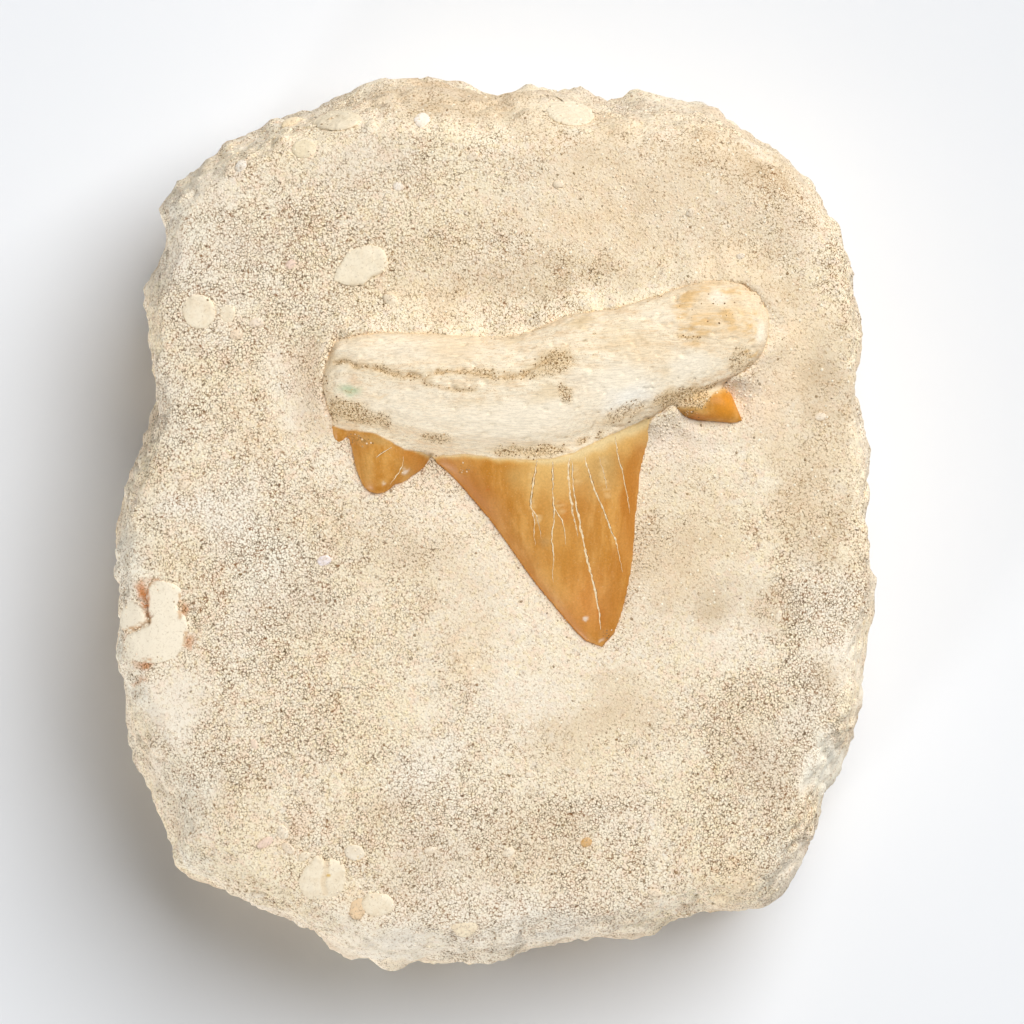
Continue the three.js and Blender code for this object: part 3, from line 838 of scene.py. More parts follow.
# %% The cracks
# Each crack is a path on the plan: x, y and half the width there, in mm.
cracks = [
    [(4.25, 6.1, 0.03), (4.1, 5, 0.07), (3.9, 4, 0.1), (3.75, 3, 0.1), (3.65, 2.2, 0.08),
     (3.6, 1.4, 0.09), (3.9, 0.9, 0.06), (4.2, 0.5, 0.07), (4.4, -0.2, 0.06), (4.6, -1.3, 0.04),
     (4.7, -1.8, 0.015)],
    [(3.65, 1.3, 0.05), (3.9, 0.4, 0.05), (4, -0.4, 0.05), (3.95, -1.2, 0.05), (4.05, -2.5, 0.015)],
    [(5.8, 5.9, 0.02), (5.8, 5.1, 0.06), (5.85, 4, 0.08), (5.8, 3, 0.07), (5.85, 2, 0.08),
     (5.95, 1, 0.075), (5.95, 0, 0.07), (5.8, -1, 0.075), (5.7, -2, 0.07), (5.85, -2.7, 0.07),
     (5.9, -3.4, 0.05), (5.85, -4.5, 0.045), (5.8, -5.2, 0.04), (5.85, -6.2, 0.015)],
    [(5.95, 1.3, 0.03), (6.4, 0.6, 0.06), (6.75, 0, 0.065), (7, -1, 0.05), (7.1, -2.4, 0.015)],
    [(7.55, 6.3, 0.05), (7.4, 5.6, 0.11), (7.35, 4.8, 0.13), (7.4, 4.2, 0.12), (7.5, 3.2, 0.11),
     (7.6, 2.4, 0.12), (7.75, 1.6, 0.12), (7.8, 0.8, 0.09), (8, 0, 0.08), (8.2, -0.8, 0.06),
     (8.35, -1.6, 0.02)],
    [(7.75, 5.9, 0.04), (7.8, 4.6, 0.06), (7.85, 3.6, 0.07), (7.95, 2.8, 0.09), (8.1, 2, 0.09),
     (8.3, 0.8, 0.1), (8.5, 0, 0.11), (8.6, -0.8, 0.12), (8.8, -1.6, 0.11), (9, -2.6, 0.12),
     (9.2, -3.6, 0.12), (9.5, -4.8, 0.11), (9.8, -6, 0.1), (10.05, -7, 0.11), (10.2, -8, 0.1),
     (10.4, -9, 0.09), (10.55, -10, 0.08), (10.6, -10.9, 0.02)],
    [(9.05, 6.3, 0.03), (9.2, 5.5, 0.09), (9.45, 4.8, 0.1), (9.8, 3.6, 0.1), (10.1, 2.8, 0.1),
     (10.4, 2.1, 0.11), (10.8, 1.3, 0.1), (11.1, 0.5, 0.1), (11.4, -0.3, 0.11), (11.7, -1.1, 0.1),
     (12.1, -2, 0.08), (12.35, -3, 0.07), (12.55, -4, 0.05), (12.8, -5.2, 0.015)],
    [(10.4, 6.4, 0.02), (10.8, 5.2, 0.05), (11.1, 4, 0.05), (11.2, 3.2, 0.015)],
    [(12.05, 8.5, 0.03), (12.25, 7, 0.08), (12.5, 5.8, 0.08), (12.8, 4.8, 0.085), (13, 3.8, 0.07),
     (13.2, 2.8, 0.06), (13.4, 1.8, 0.055), (13.55, 0.6, 0.015)],
    [(-11.8, 6.3, 0.03), (-11.3, 6.7, 0.07), (-10.3, 7.3, 0.02)],
    [(-9.1, 6.4, 0.02), (-9.1, 5.6, 0.05), (-9.6, 4.7, 0.06), (-10.4, 3.6, 0.02)],
]
tooth_surface = surface_tree(tooth)
# The wider dark threads are painted shade: the shadow along the sides of each filled crack.
crack_borders = threads_piece("crack_borders", cracks, tooth_surface, widen=2.7, sink=2.2)
crack_fillings = threads_piece("crack_fillings", cracks, tooth_surface, widen=1.25, sink=0.75)
print("corners in the crack fillings:", len(crack_fillings.data.vertices))

# %% [markdown]
# ## Pebbles and the scrap of bone
# The pebbles are worn lumps of chalky phosphate. Each measured pebble gets a fine skin, is smoothed and
# roughened a little. They were ground almost level with the sand, so each one is laid on a smooth bed
# fitted to the sand's own surface, and what stands above the bed is pressed down to a third, or on the
# bone to a tenth. They keep their own names, since each one stands for its own measured piece.

# %% The bed of a pebble


def bed_terms(plan, middle):
    """The terms of a gently curved surface over the plan, with its origin at middle."""
    x, y = plan[:, 0] - middle[0], plan[:, 1] - middle[1]
    return np.stack([np.ones(len(plan)), x, y, x * x, x * y, y * y], axis=1)


def fitted_bed(ground, middle, reach):
    """The smooth surface closest to the ground within reach of middle, as the weights of its terms."""
    steps = np.linspace(-1, 1, 9)
    plan = np.array([(middle[0] + x * reach[0], middle[1] + y * reach[1]) for x in steps for y in steps])
    hits = [dropped(ground, x, y)[0] for x, y in plan]
    levels = np.array([hit.z / MM if hit is not None else -far for hit in hits])
    firm = levels > np.median(levels) - 2.2
    return np.linalg.lstsq(bed_terms(plan[firm], middle), levels[firm], rcond=None)[0]


# The bone's outline as it was broken, with the notch at its right and the gap at its upper left.
bone_outline = np.array([
    (-30.75, -10.4), (-30.9, -9.7), (-31.6, -8.95), (-31.85, -8.3), (-31.35, -7.7), (-31.4, -6.9),
    (-32.2, -6.3), (-33.6, -6.15), (-34.5, -6.2), (-34.8, -7.3), (-35, -8.2), (-35.6, -8.15),
    (-36.3, -7.95), (-37.1, -8.6), (-37.5, -9.8), (-37.4, -11), (-37.05, -11.5), (-37, -12.7),
    (-36.6, -13.8), (-35.4, -14.1), (-33.4, -14.1), (-32.2, -13.8), (-31.35, -13), (-30.8, -11.6),
])


def reshaped(places, outline):
    """Places stretched on the plan, until the widest of them on each side lie on the outline."""
    sectors = 40
    turn = 2 * math.pi
    middle = outline.mean(axis=0)
    plan, drawn = places[:, :2] - middle, outline - middle
    bearing, reach = np.arctan2(plan[:, 1], plan[:, 0]), np.hypot(plan[:, 0], plan[:, 1])
    sector = ((bearing + math.pi) / turn * sectors).astype(int) % sectors
    widest = np.array([reach[sector == number].max() for number in range(sectors)])
    sector_bearing = (np.arange(sectors) + 0.5) / sectors * turn - math.pi
    own = np.interp(bearing, sector_bearing, widest, period=turn)
    drawn_bearing, drawn_reach = np.arctan2(drawn[:, 1], drawn[:, 0]), np.hypot(drawn[:, 0], drawn[:, 1])
    wanted = np.interp(bearing, drawn_bearing, drawn_reach, period=turn)
    return np.column_stack([middle + plan * (wanted / own)[:, None], places[:, 2]])


# %% Pebbles
pebble_names = [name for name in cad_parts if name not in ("matrix", "shark_tooth")]
level_sand = surface_tree(stone)
bone_crack = [(-35.0, -8.1), (-34.9, -9.2), (-34.7, -10.2), (-36, -10.9), (-37.3, -11.3)]
twin_groove = [(-16.9, -33.5), (-16.8, -35), (-17.2, -36.2), (-16.9, -37.3)]
pebble_pieces = {}
pebble_beds = []
for number, name in enumerate(pebble_names):
    pebble = new_piece(name + "_stone", welded(name))
    is_bone = name == "bone_fragment"
    skinned(pebble, square=0.22 if is_bone else 0.13, smoothing=14)
    places = places_of(pebble.data)
    facing = normals_of(pebble.data)
    push = 0.05 + 0.1 * lumps(places, 1.1, 5.0 + number) + 0.06 * lumps(places, 0.4, 9.0 + number)
    if is_bone:
        places = reshaped(places, bone_outline)
        push -= 0.3 * near_path(places, bone_crack, 0.35)
    if name == "twin_nodule":
        push -= 0.12 * near_path(places, twin_groove, 0.4)
    middle = (places.min(axis=0) + places.max(axis=0))[:2] / 2
    half = (places.max(axis=0) - places.min(axis=0))[:2] / 2
    rim = np.abs(facing[:, 2]) < 0.25
    on_plan = np.column_stack([places[:, :2], np.ones(len(places))])
    rim_plane = on_plan @ np.linalg.lstsq(on_plan[rim], places[rim, 2], rcond=None)[0]
    above = places[:, 2] - rim_plane
    bed = fitted_bed(level_sand, middle, half + 0.4)
    bed_level = bed_terms(places, middle) @ bed
    places[:, 2] = bed_level - 0.04 + np.where(above > 0, (0.1 if is_bone else 0.3) * above, above)
    places += facing * push[:, None]
    pebble_beds.append((bed, middle, half.max() + 1.5))
    put_places(pebble.data, places)
    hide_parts(name)
    pebble_pieces[name] = pebble
print("corners in the pebbles:", sum(len(p.data.vertices) for p in pebble_pieces.values()))

# %% [markdown]
# ## Sand against tooth and pebbles
# Around the tooth the sand is level with the cutting edges, and it still clings higher, unevenly, against
# the root. It also comes up flush to each pebble. Under a bedded piece the sand keeps the shape of the
# piece's underside, a hair's breadth below it. Rays sent up from inside the block tell where it lies
# under a bedded piece.

# %% Fitting the sand
bedded_shape = bmesh.new()
for pebble in pebble_pieces.values():
    bedded_shape.from_mesh(pebble.data)
pebble_tree = BVHTree.FromBMesh(bedded_shape)
bedded_shape.from_mesh(tooth.data)
bedded_tree = BVHTree.FromBMesh(bedded_shape)
bedded_shape.free()
# Heights in mm: where rays that look up start, where the upper part begins and where its face is level.
inside_block, upper_part, level_face = 10, 17, 24


def seat(place, tree, margin):
    """The height of the underside of a piece above a place, or None unless it covers margin mm round it."""
    bottoms = []
    for x, y in ((0, 0), (margin, 0), (-margin, 0), (0, margin), (0, -margin)):
        start = Vector((place[0] + x, place[1] + y, inside_block)) * MM
        bottom = tree.ray_cast(start, Vector((0, 0, 1)))[0]
        if bottom is None:
            return None
        bottoms.append(bottom.z / MM)
    return bottoms[0]


places = places_of(stone.data)
height = places[:, 2].copy()
upness = normals_of(stone.data)[:, 2]
near_top = np.nonzero((height > upper_part) & (upness > 0.1))[0]
to_tooth, to_pebble = np.full(len(places), far), np.full(len(places), far)
for index in near_top:
    place = Vector(places[index]) * MM
    to_tooth[index] = tooth_surface.find_nearest(place)[3] / MM
    to_pebble[index] = pebble_tree.find_nearest(place)[3] / MM
near_tooth = (1 - soft_step(to_tooth, 0.4, 3.0)) * (height > level_face)
beside_root = np.clip(1.05 - to_tooth / 4.6, 0, 1) ** 2 * soft_step(places[:, 1], 7.0, 11.0)
beside_root *= height > level_face
beside_root *= 1 - in_oval(places, 22.5, 10.8, 5, 3.4)
clinging = 1.4 + 0.5 * lumps(places, 1.9, 12.0)
clinging += 0.1 * in_oval(places, 26.5, 21, 4, 6) + 0.4 * in_oval(places, -18, 14, 3, 6)
level = edge_level - 0.1 + 0.05 * lumps(places, 0.9, 3.3)
places[:, 2] = places[:, 2] * (1 - near_tooth) + level * near_tooth + beside_root * clinging
for bed, middle, reach in pebble_beds:
    beside = np.hypot(places[:, 0] - middle[0], places[:, 1] - middle[1]) < reach
    flush = (1 - soft_step(to_pebble, 0.5, 1.3)) * beside
    places[:, 2] += (bed_terms(places, middle) @ bed - places[:, 2]) * flush

seated = 0
for index in near_top:
    bottom = seat(places[index], bedded_tree, 0.7)
    if bottom is not None:
        # The sand dips as it goes under a piece, the deeper the more of the piece is above it.
        crest = dropped(bedded_tree, *places[index, :2])[0].z / MM
        bottom = max(bottom, places[index, 2] - 5 * max(crest - places[index, 2], 0))
    elif seat(places[index], pebble_tree, 0.42) is not None:
        bottom = dropped(pebble_tree, *places[index, :2])[0].z / MM - 0.2
    if bottom is not None:
        places[index, 2] = min(places[index, 2], bottom - 0.1)
        seated += 1
put_places(stone.data, places)
print("corners seated under the bedded pieces:", seated)

# %% [markdown]
# ## Stains in the sand
# The sand isn't one colour. Iron has tinted some areas tan or ochre, others are a cooler grey, and where
# the block broke, or where the sand is finest, it is nearly white. They are laid over the block as washes,
# like the tooth's. Some washes are painted light and shade: paler paint on the left and lower shoulders,
# which face away from the key lamp, and on the lower left, which the lamp reaches less, and darker paint on
# the upper and right shoulders, which face it.

# %% Stains on the block
places = places_of(stone.data)
finely_shaken = ragged(places, 0.8, 0.5, 8.0)
shaken = ragged(places, 6.5, 2.8, 3.0) + ragged(places, 2.1, 1.2, 13.0) + finely_shaken - 2 * places
patchy = 0.75 + 0.45 * lumps(places, 2.6, 35.0)
sand_stains = Stains(len(places))
sandy_tan, ash, white = tone(246, 219, 180), tone(232, 216, 196), tone(252, 240, 222)
peach, sandy_ochre, brown = tone(252, 222, 194), tone(236, 196, 136), tone(218, 192, 162)
dull_rust, dull_and_painted_shade, pale_and_painted_light = tone(214, 158, 118), tone(230, 207, 174), tone(255, 247, 232)
deep_rust, painted_shade, painted_light = tone(204, 124, 64), tone(212, 188, 154), tone(255, 249, 232)
# The rows are like those of the tooth's washes.
sand_washes = [
    (sandy_tan, (11, 31.5, 14, 8, 0.75, 8), (-7, 22.5, 9, 2.4, 0.6), (19.5, -3.5, 5.5, 4.5, 0.6, 40),
     (-2.5, -14, 3.6, 3, 0.8), (31, 4, 4.5, 5, 0.35), (-25, 9.5, 5, 3.5, 0.4), (11.5, -27.5, 3, 3, 0.5),
     (24, -36, 3.2, 2.6, 0.6), (-14, -38.5, 1.5, 1.5, 0.8), (8, -37, 3, 2.6, 0.5)),
    (brown, (-10, -28, 3, 2.4, 0.5, 20), (35.5, 0, 2, 2.6, 0.5)),
    (ash, (-20, -8.5, 6, 4.5, 0.6), (-9.5, -3.5, 4, 4, 0.6), (-25.5, 28.5, 6, 3.4, 0.6),
     (-13, 35, 7.5, 5, 0.5), (27.5, -23.5, 5.5, 6.5, 0.65), (-5.5, -34, 9, 4.5, 0.6),
     (31, 31, 4, 5, 0.5, 30), (-28, -27, 4, 5, 0.4)),
    (white, (-32.5, -18, 5.6, 4.4, 0.8, -20), (24, -12, 4.5, 4.5, 0.4), (-26.5, -2.5, 4, 3, 0.6, 30),
     (-12, -43, 7, 2.6, 0.8, -10)),
    (pale_and_painted_light, (-33, 13, 3.5, 5, 0.9), (31, -20, 4, 7, 0.6)),
    (white, (36, -14, 2.4, 4, 0.75), (34.5, -25, 2.2, 4, 0.7), (-34, -26, 2.2, 6, 0.6, 15),
     (-29, 35.5, 3, 2.6, 0.6), (3, -19, 9, 5, 0.4), (5, 43.5, 9, 1.6, 0.5), (32, -35, 2.5, 4, 0.6, -35),
     (-17, 43, 8, 1.4, 0.4, 20), (8, -44, 12, 2, 0.6, 8)),
    (peach, (-26, 19.6, 1.2, 0.8, 0.6), (-32.3, 27, 1, 2.4, 0.7), (-20, -30, 2.4, 1.6, 0.5, 30),
     (14, -18, 2.6, 1.6, 0.4), (-12, -32.5, 0.8, 0.6, 0.6)),
    (sandy_ochre, (9.2, -32.2, 0.7, 0.6, 0.9), (-12.3, -39.4, 0.6, 0.5, 0.7)),
    (dull_rust, (-35.3, -14.4, 1.1, 0.5, 1), (-31.1, -8.8, 0.6, 0.9, 0.9), (-30.6, -12.2, 0.5, 0.8, 0.8),
     (-37.6, -11.3, 0.9, 0.8, 0.9), (-34.4, -6.1, 1.3, 0.35, 0.5)),
    (brown, (-30, 17.5, 0.7, 0.6, 0.6),),
    # Partly painted shade: these dull washes darken the upper edge and the right side, where the shoulders
    # face the key lamp.
    (dull_and_painted_shade, (-4, 43.5, 13, 4, 0.9), (0, 45.5, 12, 2.6, 0.8), (25, 36, 8, 5, 0.8, -35),
     (15, 38, 18, 5, 0.5, -8), (24, 28, 12, 9, 0.5, -10), (-7, 26, 9, 3.5, 0.5)),
    (sandy_tan, (24.5, 26, 5, 4, 0.5),),
    (dull_and_painted_shade, (31, 10, 5, 14, 0.6), (15, -4, 6, 9, 0.8), (-4, -7, 7, 8, 0.4), (31, 2, 4, 6, 0.5),
     (11.5, -18, 5, 4, 0.4), (-10, -2, 11, 5, 0.45), (0, 41, 8, 3, 0.4), (20, 0, 8, 7, 0.35)),
    # Partly painted light: these pale washes lighten the left and lower shoulders, which face away from the
    # key lamp, and the shaded sand below the root's right end.
    (pale_and_painted_light, (-28, 1, 8, 4, 1), (-21, -6, 5, 5, 0.6), (-15, -7, 3, 3, 0.4), (-7.4, -25, 4, 4, 0.9),
     (5, -38, 16, 3.5, 0.6), (33, -12, 5, 11, 0.6), (5, -30, 16, 6, 0.5), (-26, 24, 9, 9, 0.6),
     (-24, -12, 6, 6, 0.5), (-36, -8, 4, 11, 0.7), (-31, -23, 4, 6, 0.5, 20), (-32, 28, 4, 9, 0.8),
     (-4, -42, 18, 5, 0.8), (-23, -2.5, 4, 4, 0.7), (-20.5, 14, 3, 6, 0.6), (5.3, -40.8, 8, 3, 0.8),
     (16.8, 7.5, 3, 3.4, 0.5)),
    (sandy_tan, (29.5, 16, 5, 9, 0.7),),
    (peach, (27, 12, 5, 5, 0.4),),
    # Painted shade: these darker washes dim the upper and right shoulders, which face the key lamp.
    (painted_shade, (-4, 42.6, 9, 3, 0.7), (27.8, 36, 4.5, 4, 0.7, -35), (8.5, 36.5, 4.5, 3.5, 0.4),
     (5.5, 24, 11, 2.6, 0.65, 6), (27.8, 24.5, 4.5, 4, 0.6), (34.1, 14, 3.4, 6.5, 0.8),
     (34.1, -2.4, 3.4, 3.6, 0.6), (34.1, -15.2, 3, 3, 0.6), (21.3, -2.4, 4, 3.4, 0.35),
     (21.3, -8.8, 4.2, 3.6, 0.8), (27.8, -8.8, 4, 3.4, 0.45)),
    (dull_and_painted_shade, (8.5, -21.6, 4.5, 3.6, 0.7), (14, -18.5, 6, 5, 0.6), (4, -31, 6, 5, 0.4)),
    # Painted light: these bright washes lighten the left and lower shoulders, which face away from the key
    # lamp, and the lower left, which the lamp reaches less.
    (painted_light, (-37, -3, 2.6, 4, 0.8), (-37, -14.5, 2.6, 4, 0.8), (-29.9, 29.6, 4, 4, 0.6),
     (-29.9, 10.4, 4, 3.6, 0.4), (-23.5, -2.4, 4.4, 3.6, 0.6), (-29.9, -27, 3.6, 4.5, 0.7),
     (-29.9, -34.4, 3.6, 4, 1, 20), (33, -25, 2.6, 3.8, 1, 10), (21.3, -28, 4, 3.4, 0.3),
     (27.8, -34.4, 4, 3.4, 0.6)),
    (pale_and_painted_light, (21.3, 7.8, 4.5, 3, 0.4),),
    (peach, (19, 7.5, 5, 4, 0.4), (-17, 13.6, 4, 6, 0.6)),
    (white, (-27, 33, 3.4, 2.2, 0.6, 25),),
    (dull_rust, (-35.2, -14.5, 1.6, 0.5, 1.2), (-31.1, -8.8, 0.6, 1, 1.1), (-30.6, -12, 0.5, 0.9, 0.9),
     (-37.5, -11.6, 0.9, 0.7, 0.9)),
    (deep_rust, (-35.1, -14.4, 1.3, 0.7, 1), (-35.05, -8, 0.6, 2, 1.6, 8),
     (-35.2, -7.2, 0.75, 1.4, 1.6, 8)),
    (dull_rust, (-34.4, -6.1, 1.3, 0.35, 0.8),),
]

# The washes belong to the upper face, and fade out down the sides, where the sand's own layers show.
# Slender ones stay on the face itself, and small ones keep a crisper outline.
slender = 1.5
near_top_face = soft_step(places[:, 2] + 1.5 * lumps(places, 4, 44.0), 11, 19)
on_top = soft_step(places[:, 2], 21.5, 24)
for color, *ovals in sand_washes:
    for x, y, half_width, half_height, strength, *turn in ovals:
        plan = finely_shaken if max(half_width, half_height) < slender else shaken
        mask = in_oval(plan, x, y, half_width, half_height, *turn, core=0.2) * patchy
        sand_stains.wash(color, mask * (on_top if half_width < slender else near_top_face), strength)
on_side = soft_step(-places[:, 2] - 1.5 * lumps(places, 4, 48.0), -23, -15)
for color, size, seed in ((sandy_tan, 11, 60.0), (ash, 8, 66.0), (pale_and_painted_light, 10, 72.0), (brown, 5, 78.0)):
    layered = soft_step(lumps(places, size, seed, stretch=(1, 1, 0.45)), 0.05, 0.5)
    sand_stains.wash(color, layered * on_side * patchy, 0.6)
put_colors(stone.data, "stain", sand_stains.colors)
print("share of the block with a stain:", round(float((sand_stains.colors[:, 3] > 0.1).mean()), 2))

# %% Where the sand is coarse
# Each oval is x, y, half width, half height and amount.
coarse_ovals = [
    (-24, 24, 12, 13, 0.35), (-24, -12, 14, 20, 0.3), (0, -34, 30, 9, 0.25), (28, -22, 10, 16, 0.35),
    (34, 20, 5, 16, 0.2), (-29, 11, 9, 10, 0.25), (32, -9, 7, 10, 0.35), (-4, -24, 18, 6, 0.1),
    (-4, 31, 14, 6, 0.2),
]
smooth_ovals = [
    (10, 32, 14, 6, 0.5), (2, -10, 9, 8, 0.45), (20, -6, 8, 9, 0.35), (8, -18, 9, 6, 0.45),
    (24, 8, 8, 8, 0.25), (-1, -5, 6, 5, 0.3), (17, 20, 12, 4, 0.2), (30, 17, 6, 10, 0.4),
    (24, -12, 6, 6, 0.45), (33.5, -13.5, 2.6, 3.4, 0.5), (32.4, -25.5, 1.8, 3.4, 0.5),
    (-27, 33, 3.4, 2.2, 0.5), (20, 24, 10, 4, 0.3), (33, 12, 5, 10, 0.2), (14, -14, 9, 7, 0.1),
    (16.8, 6, 3.4, 5, 0.5), (22, 8, 5, 3, 0.4), (33, -25, 2.6, 3.8, 0.7), (-32.5, -18, 5, 4, 0.6),
    (-29, 35.5, 3, 2.6, 0.5), (-12, -43, 7, 2.6, 0.5), (36, -14, 2.4, 4, 0.5), (-22, 13, 6, 4, 0.2),
]
coarseness = 0.52 + 0.3 * lumps(places, 5.0, 17.0) + 0.3 * lumps(places, 1.9, 23.0)
for sign, ovals in ((1, coarse_ovals), (-1, smooth_ovals)):
    for x, y, half_width, half_height, amount in ovals:
        coarseness += sign * amount * in_oval(shaken, x, y, half_width, half_height)
coarseness = np.clip(coarseness, 0.2, 1)
put_values(stone.data, "coarse", coarseness)
print("mean coarseness:", round(float(coarseness.mean()), 2))

# %% [markdown]
# ## Grains of sand
# The upper face is covered with grains about a third of a millimetre across. Geometry nodes scatter
# points over the block so that no two are closer than a grain, set a grain on each, turned and sized at
# random, and then make the copies real. One grain has only twenty faces, because there are tens of
# thousands of them, and the points are shared out over several pieces, so that none is too heavy.

# %% One grain
grain_faces = 20


def grain_shape(name, seed, squash):
    """A small rounded grain, one unit across."""
    shape = bmesh.new()
    bmesh.ops.create_icosphere(shape, subdivisions=1, radius=0.5)
    for vert in shape.verts:
        vert.co *= 1 + 0.22 * noise.noise(vert.co * 3 + Vector((seed, 0, 0)))
        vert.co.z *= squash
    data = bpy.data.meshes.new(name)
    shape.to_mesh(data)
    shape.free()
    data.shade_smooth()
    return bpy.data.objects.new(name, data)


# %% Scattering


def scatter(name, ground, grain, spacing, amount, sizes, seed, shares=1, share=0):
    """Grains on a piece's surface, as one real mesh. amount names the attribute that says where they lie.

    Lengths are in mm. Of shares equal lots of points, this piece takes one lot.
    """
    sink = 0.06
    full_turn = 6.28
    # Several times as many points are tried as fit, so that only their spacing limits them.
    tries = 4.0
    geometry = {"Geometry": "Geometry"}
    tree, board, start, end = new_group(name, geometry, geometry, "GeometryNodeTree")
    wanted = board.add("GeometryNodeInputNamedAttribute", {"Name": amount}, data_type="FLOAT")
    points = board.add("GeometryNodeDistributePointsOnFaces", {
        "Mesh": start.outputs[0], "Distance Min": spacing * MM, "Density Max": tries / (spacing * MM) ** 2,
        "Seed": seed, "Density Factor": wanted}, None, distribute_method="POISSON")

    def random_value(low, high, offset, kind="FLOAT"):
        vector = kind == "FLOAT_VECTOR"
        inputs = {0 if vector else 2: low, 1 if vector else 3: high, "Seed": seed + offset}
        return board.add("FunctionNodeRandomValue", inputs, 0 if vector else 1, data_type=kind)

    lot = board.math("MODULO", board.add("GeometryNodeInputIndex"), float(shares))
    compared = {0: lot, 1: float(share), "Epsilon": 0.1}
    others = board.add("FunctionNodeCompare", compared, operation="NOT_EQUAL")
    sorting = {"Geometry": points["Points"], "Selection": others}
    kept = board.add("GeometryNodeDeleteGeometry", sorting, domain="POINT")
    lowered = board.scaled(points["Normal"], -sink * MM)
    settled = board.add("GeometryNodeSetPosition", {"Geometry": kept, "Offset": lowered})
    size = random_value(sizes[0] * MM, sizes[1] * MM, 1)
    tumble = random_value((-0.5, -0.5, 0.0), (0.5, 0.5, full_turn), 2, "FLOAT_VECTOR")
    turns = {0: points["Rotation"], 1: tumble}
    turned = board.add("FunctionNodeRotateRotation", turns, rotation_space="LOCAL")
    model = board.add("GeometryNodeObjectInfo", {"Object": grain}, "Geometry")
    copies = {"Points": settled, "Instance": model, "Rotation": turned, "Scale": size}
    placed = board.add("GeometryNodeInstanceOnPoints", copies)
    tinted = {"Geometry": placed, "Name": "tint", "Value": random_value(0.0, 1.0, 3)}
    named = board.add("GeometryNodeStoreNamedAttribute", tinted, data_type="FLOAT", domain="INSTANCE")
    board.fill(end.inputs[0], board.add("GeometryNodeRealizeInstances", {"Geometry": named}))

    piece = bpy.data.objects.new(name, ground.data.copy())
    bpy.context.collection.objects.link(piece)
    piece.modifiers.new("scatter", "NODES").node_group = tree
    bake_modifiers(piece)
    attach(piece, "root")
    print("grains in", name, ":", len(piece.data.polygons) // grain_faces)
    return piece


# %% Grains on the block
grains_wanted = soft_step(normals_of(stone.data)[:, 2], 0.15, 0.5) * (0.3 + 0.9 * coarseness)
grains_wanted = np.clip(grains_wanted * (places[:, 2] > upper_part), 0, 1)
for index in np.nonzero(grains_wanted > 0)[0]:
    if seat(places[index], bedded_tree, 0.35) is not None:
        grains_wanted[index] = 0
put_values(stone.data, "grains", grains_wanted)
lots = 4
grain_pieces = []
for lot in range(lots):
    name = f"sand_grains_{lot + 1}"
    grain = grain_shape("grain", seed=5.3 * lot, squash=0.55)
    grain_pieces.append(scatter(
        name, stone, grain, spacing=0.32, amount="grains", sizes=(0.26, 0.46), seed=11,
        shares=lots, share=lot))

# %% Grains caught on the tooth
# They also lie along the root's rim, where the sand clings to it.
sand_surface = surface_tree(stone)
places = places_of(tooth.data)
above_sand = np.full(len(places), far)
rim_low, rim_high = 26.5, 30
for index in np.nonzero((below_neck < 0.5) & (places[:, 2] > rim_low) & (places[:, 2] < rim_high))[0]:
    above_sand[index] = sand_surface.find_nearest(places[index] * MM)[3] / MM
rim_sand = 1 - soft_step(above_sand, 0.15, 0.5 + 0.35 * (1 + lumps(places, 2.2, 61.0)))
sandy = np.maximum(sandy, 0.3 * rim_sand)
rim_dust = 1 - soft_step(above_sand, 0.2, 1.3 + 0.6 * lumps(places, 1.4, 64.0))
stains.wash(tone(242, 219, 186), rim_dust * is_root, 0.65)
put_colors(tooth.data, "stain", stains.colors)
put_values(tooth.data, "sandy", sandy * soft_step(normals_of(tooth.data)[:, 2], 0.1, 0.4))
grain = grain_shape("grain", seed=2.2, squash=0.8)
caught = scatter("caught_grains", tooth, grain, spacing=0.2, amount="sandy", sizes=(0.13, 0.3), seed=5)

# %% Grains over the edges of the pebbles
lap_shape = bmesh.new()
for pebble in pebble_pieces.values():
    lap_shape.from_mesh(pebble.data)
lap_ground = new_piece("lap_ground", lap_shape)
places = places_of(lap_ground.data)
to_sand = np.array([sand_surface.find_nearest(place * MM)[3] / MM for place in places])
lapping = (1 - soft_step(to_sand, 0.08, 0.4)) * soft_step(normals_of(lap_ground.data)[:, 2], 0.0, 0.4)
lapping *= 0.5 + 0.5 * lumps(places, 0.9, 71.0)
bone_gap = in_oval(places, -35.1, -7.4, 0.6, 1.8, 12, core=0.6)
bone_gap = np.maximum(bone_gap, near_path(places, bone_crack[3:], 0.7))
put_values(lap_ground.data, "lapping", np.maximum(lapping, 0.9 * bone_gap))
put_values(lap_ground.data, "coarse", np.full(len(places), 0.5))
gap_rust = Stains(len(places))
gap_rust.wash(tone(206, 132, 72), in_oval(places, -35.1, -7.4, 0.8, 2.2, 12, core=0.7), 0.85)
gap_rust.wash(tone(214, 172, 124), in_oval(places, -36.8, -11.2, 1.2, 0.9, 20, core=0.6), 0.7)
put_colors(lap_ground.data, "stain", gap_rust.colors)
grain = grain_shape("grain", seed=7.1, squash=0.6)
lapping_grains = scatter(
    "lapping_grains", lap_ground, grain, spacing=0.3, amount="lapping", sizes=(0.2, 0.42), seed=21)
bpy.data.objects.remove(lap_ground)

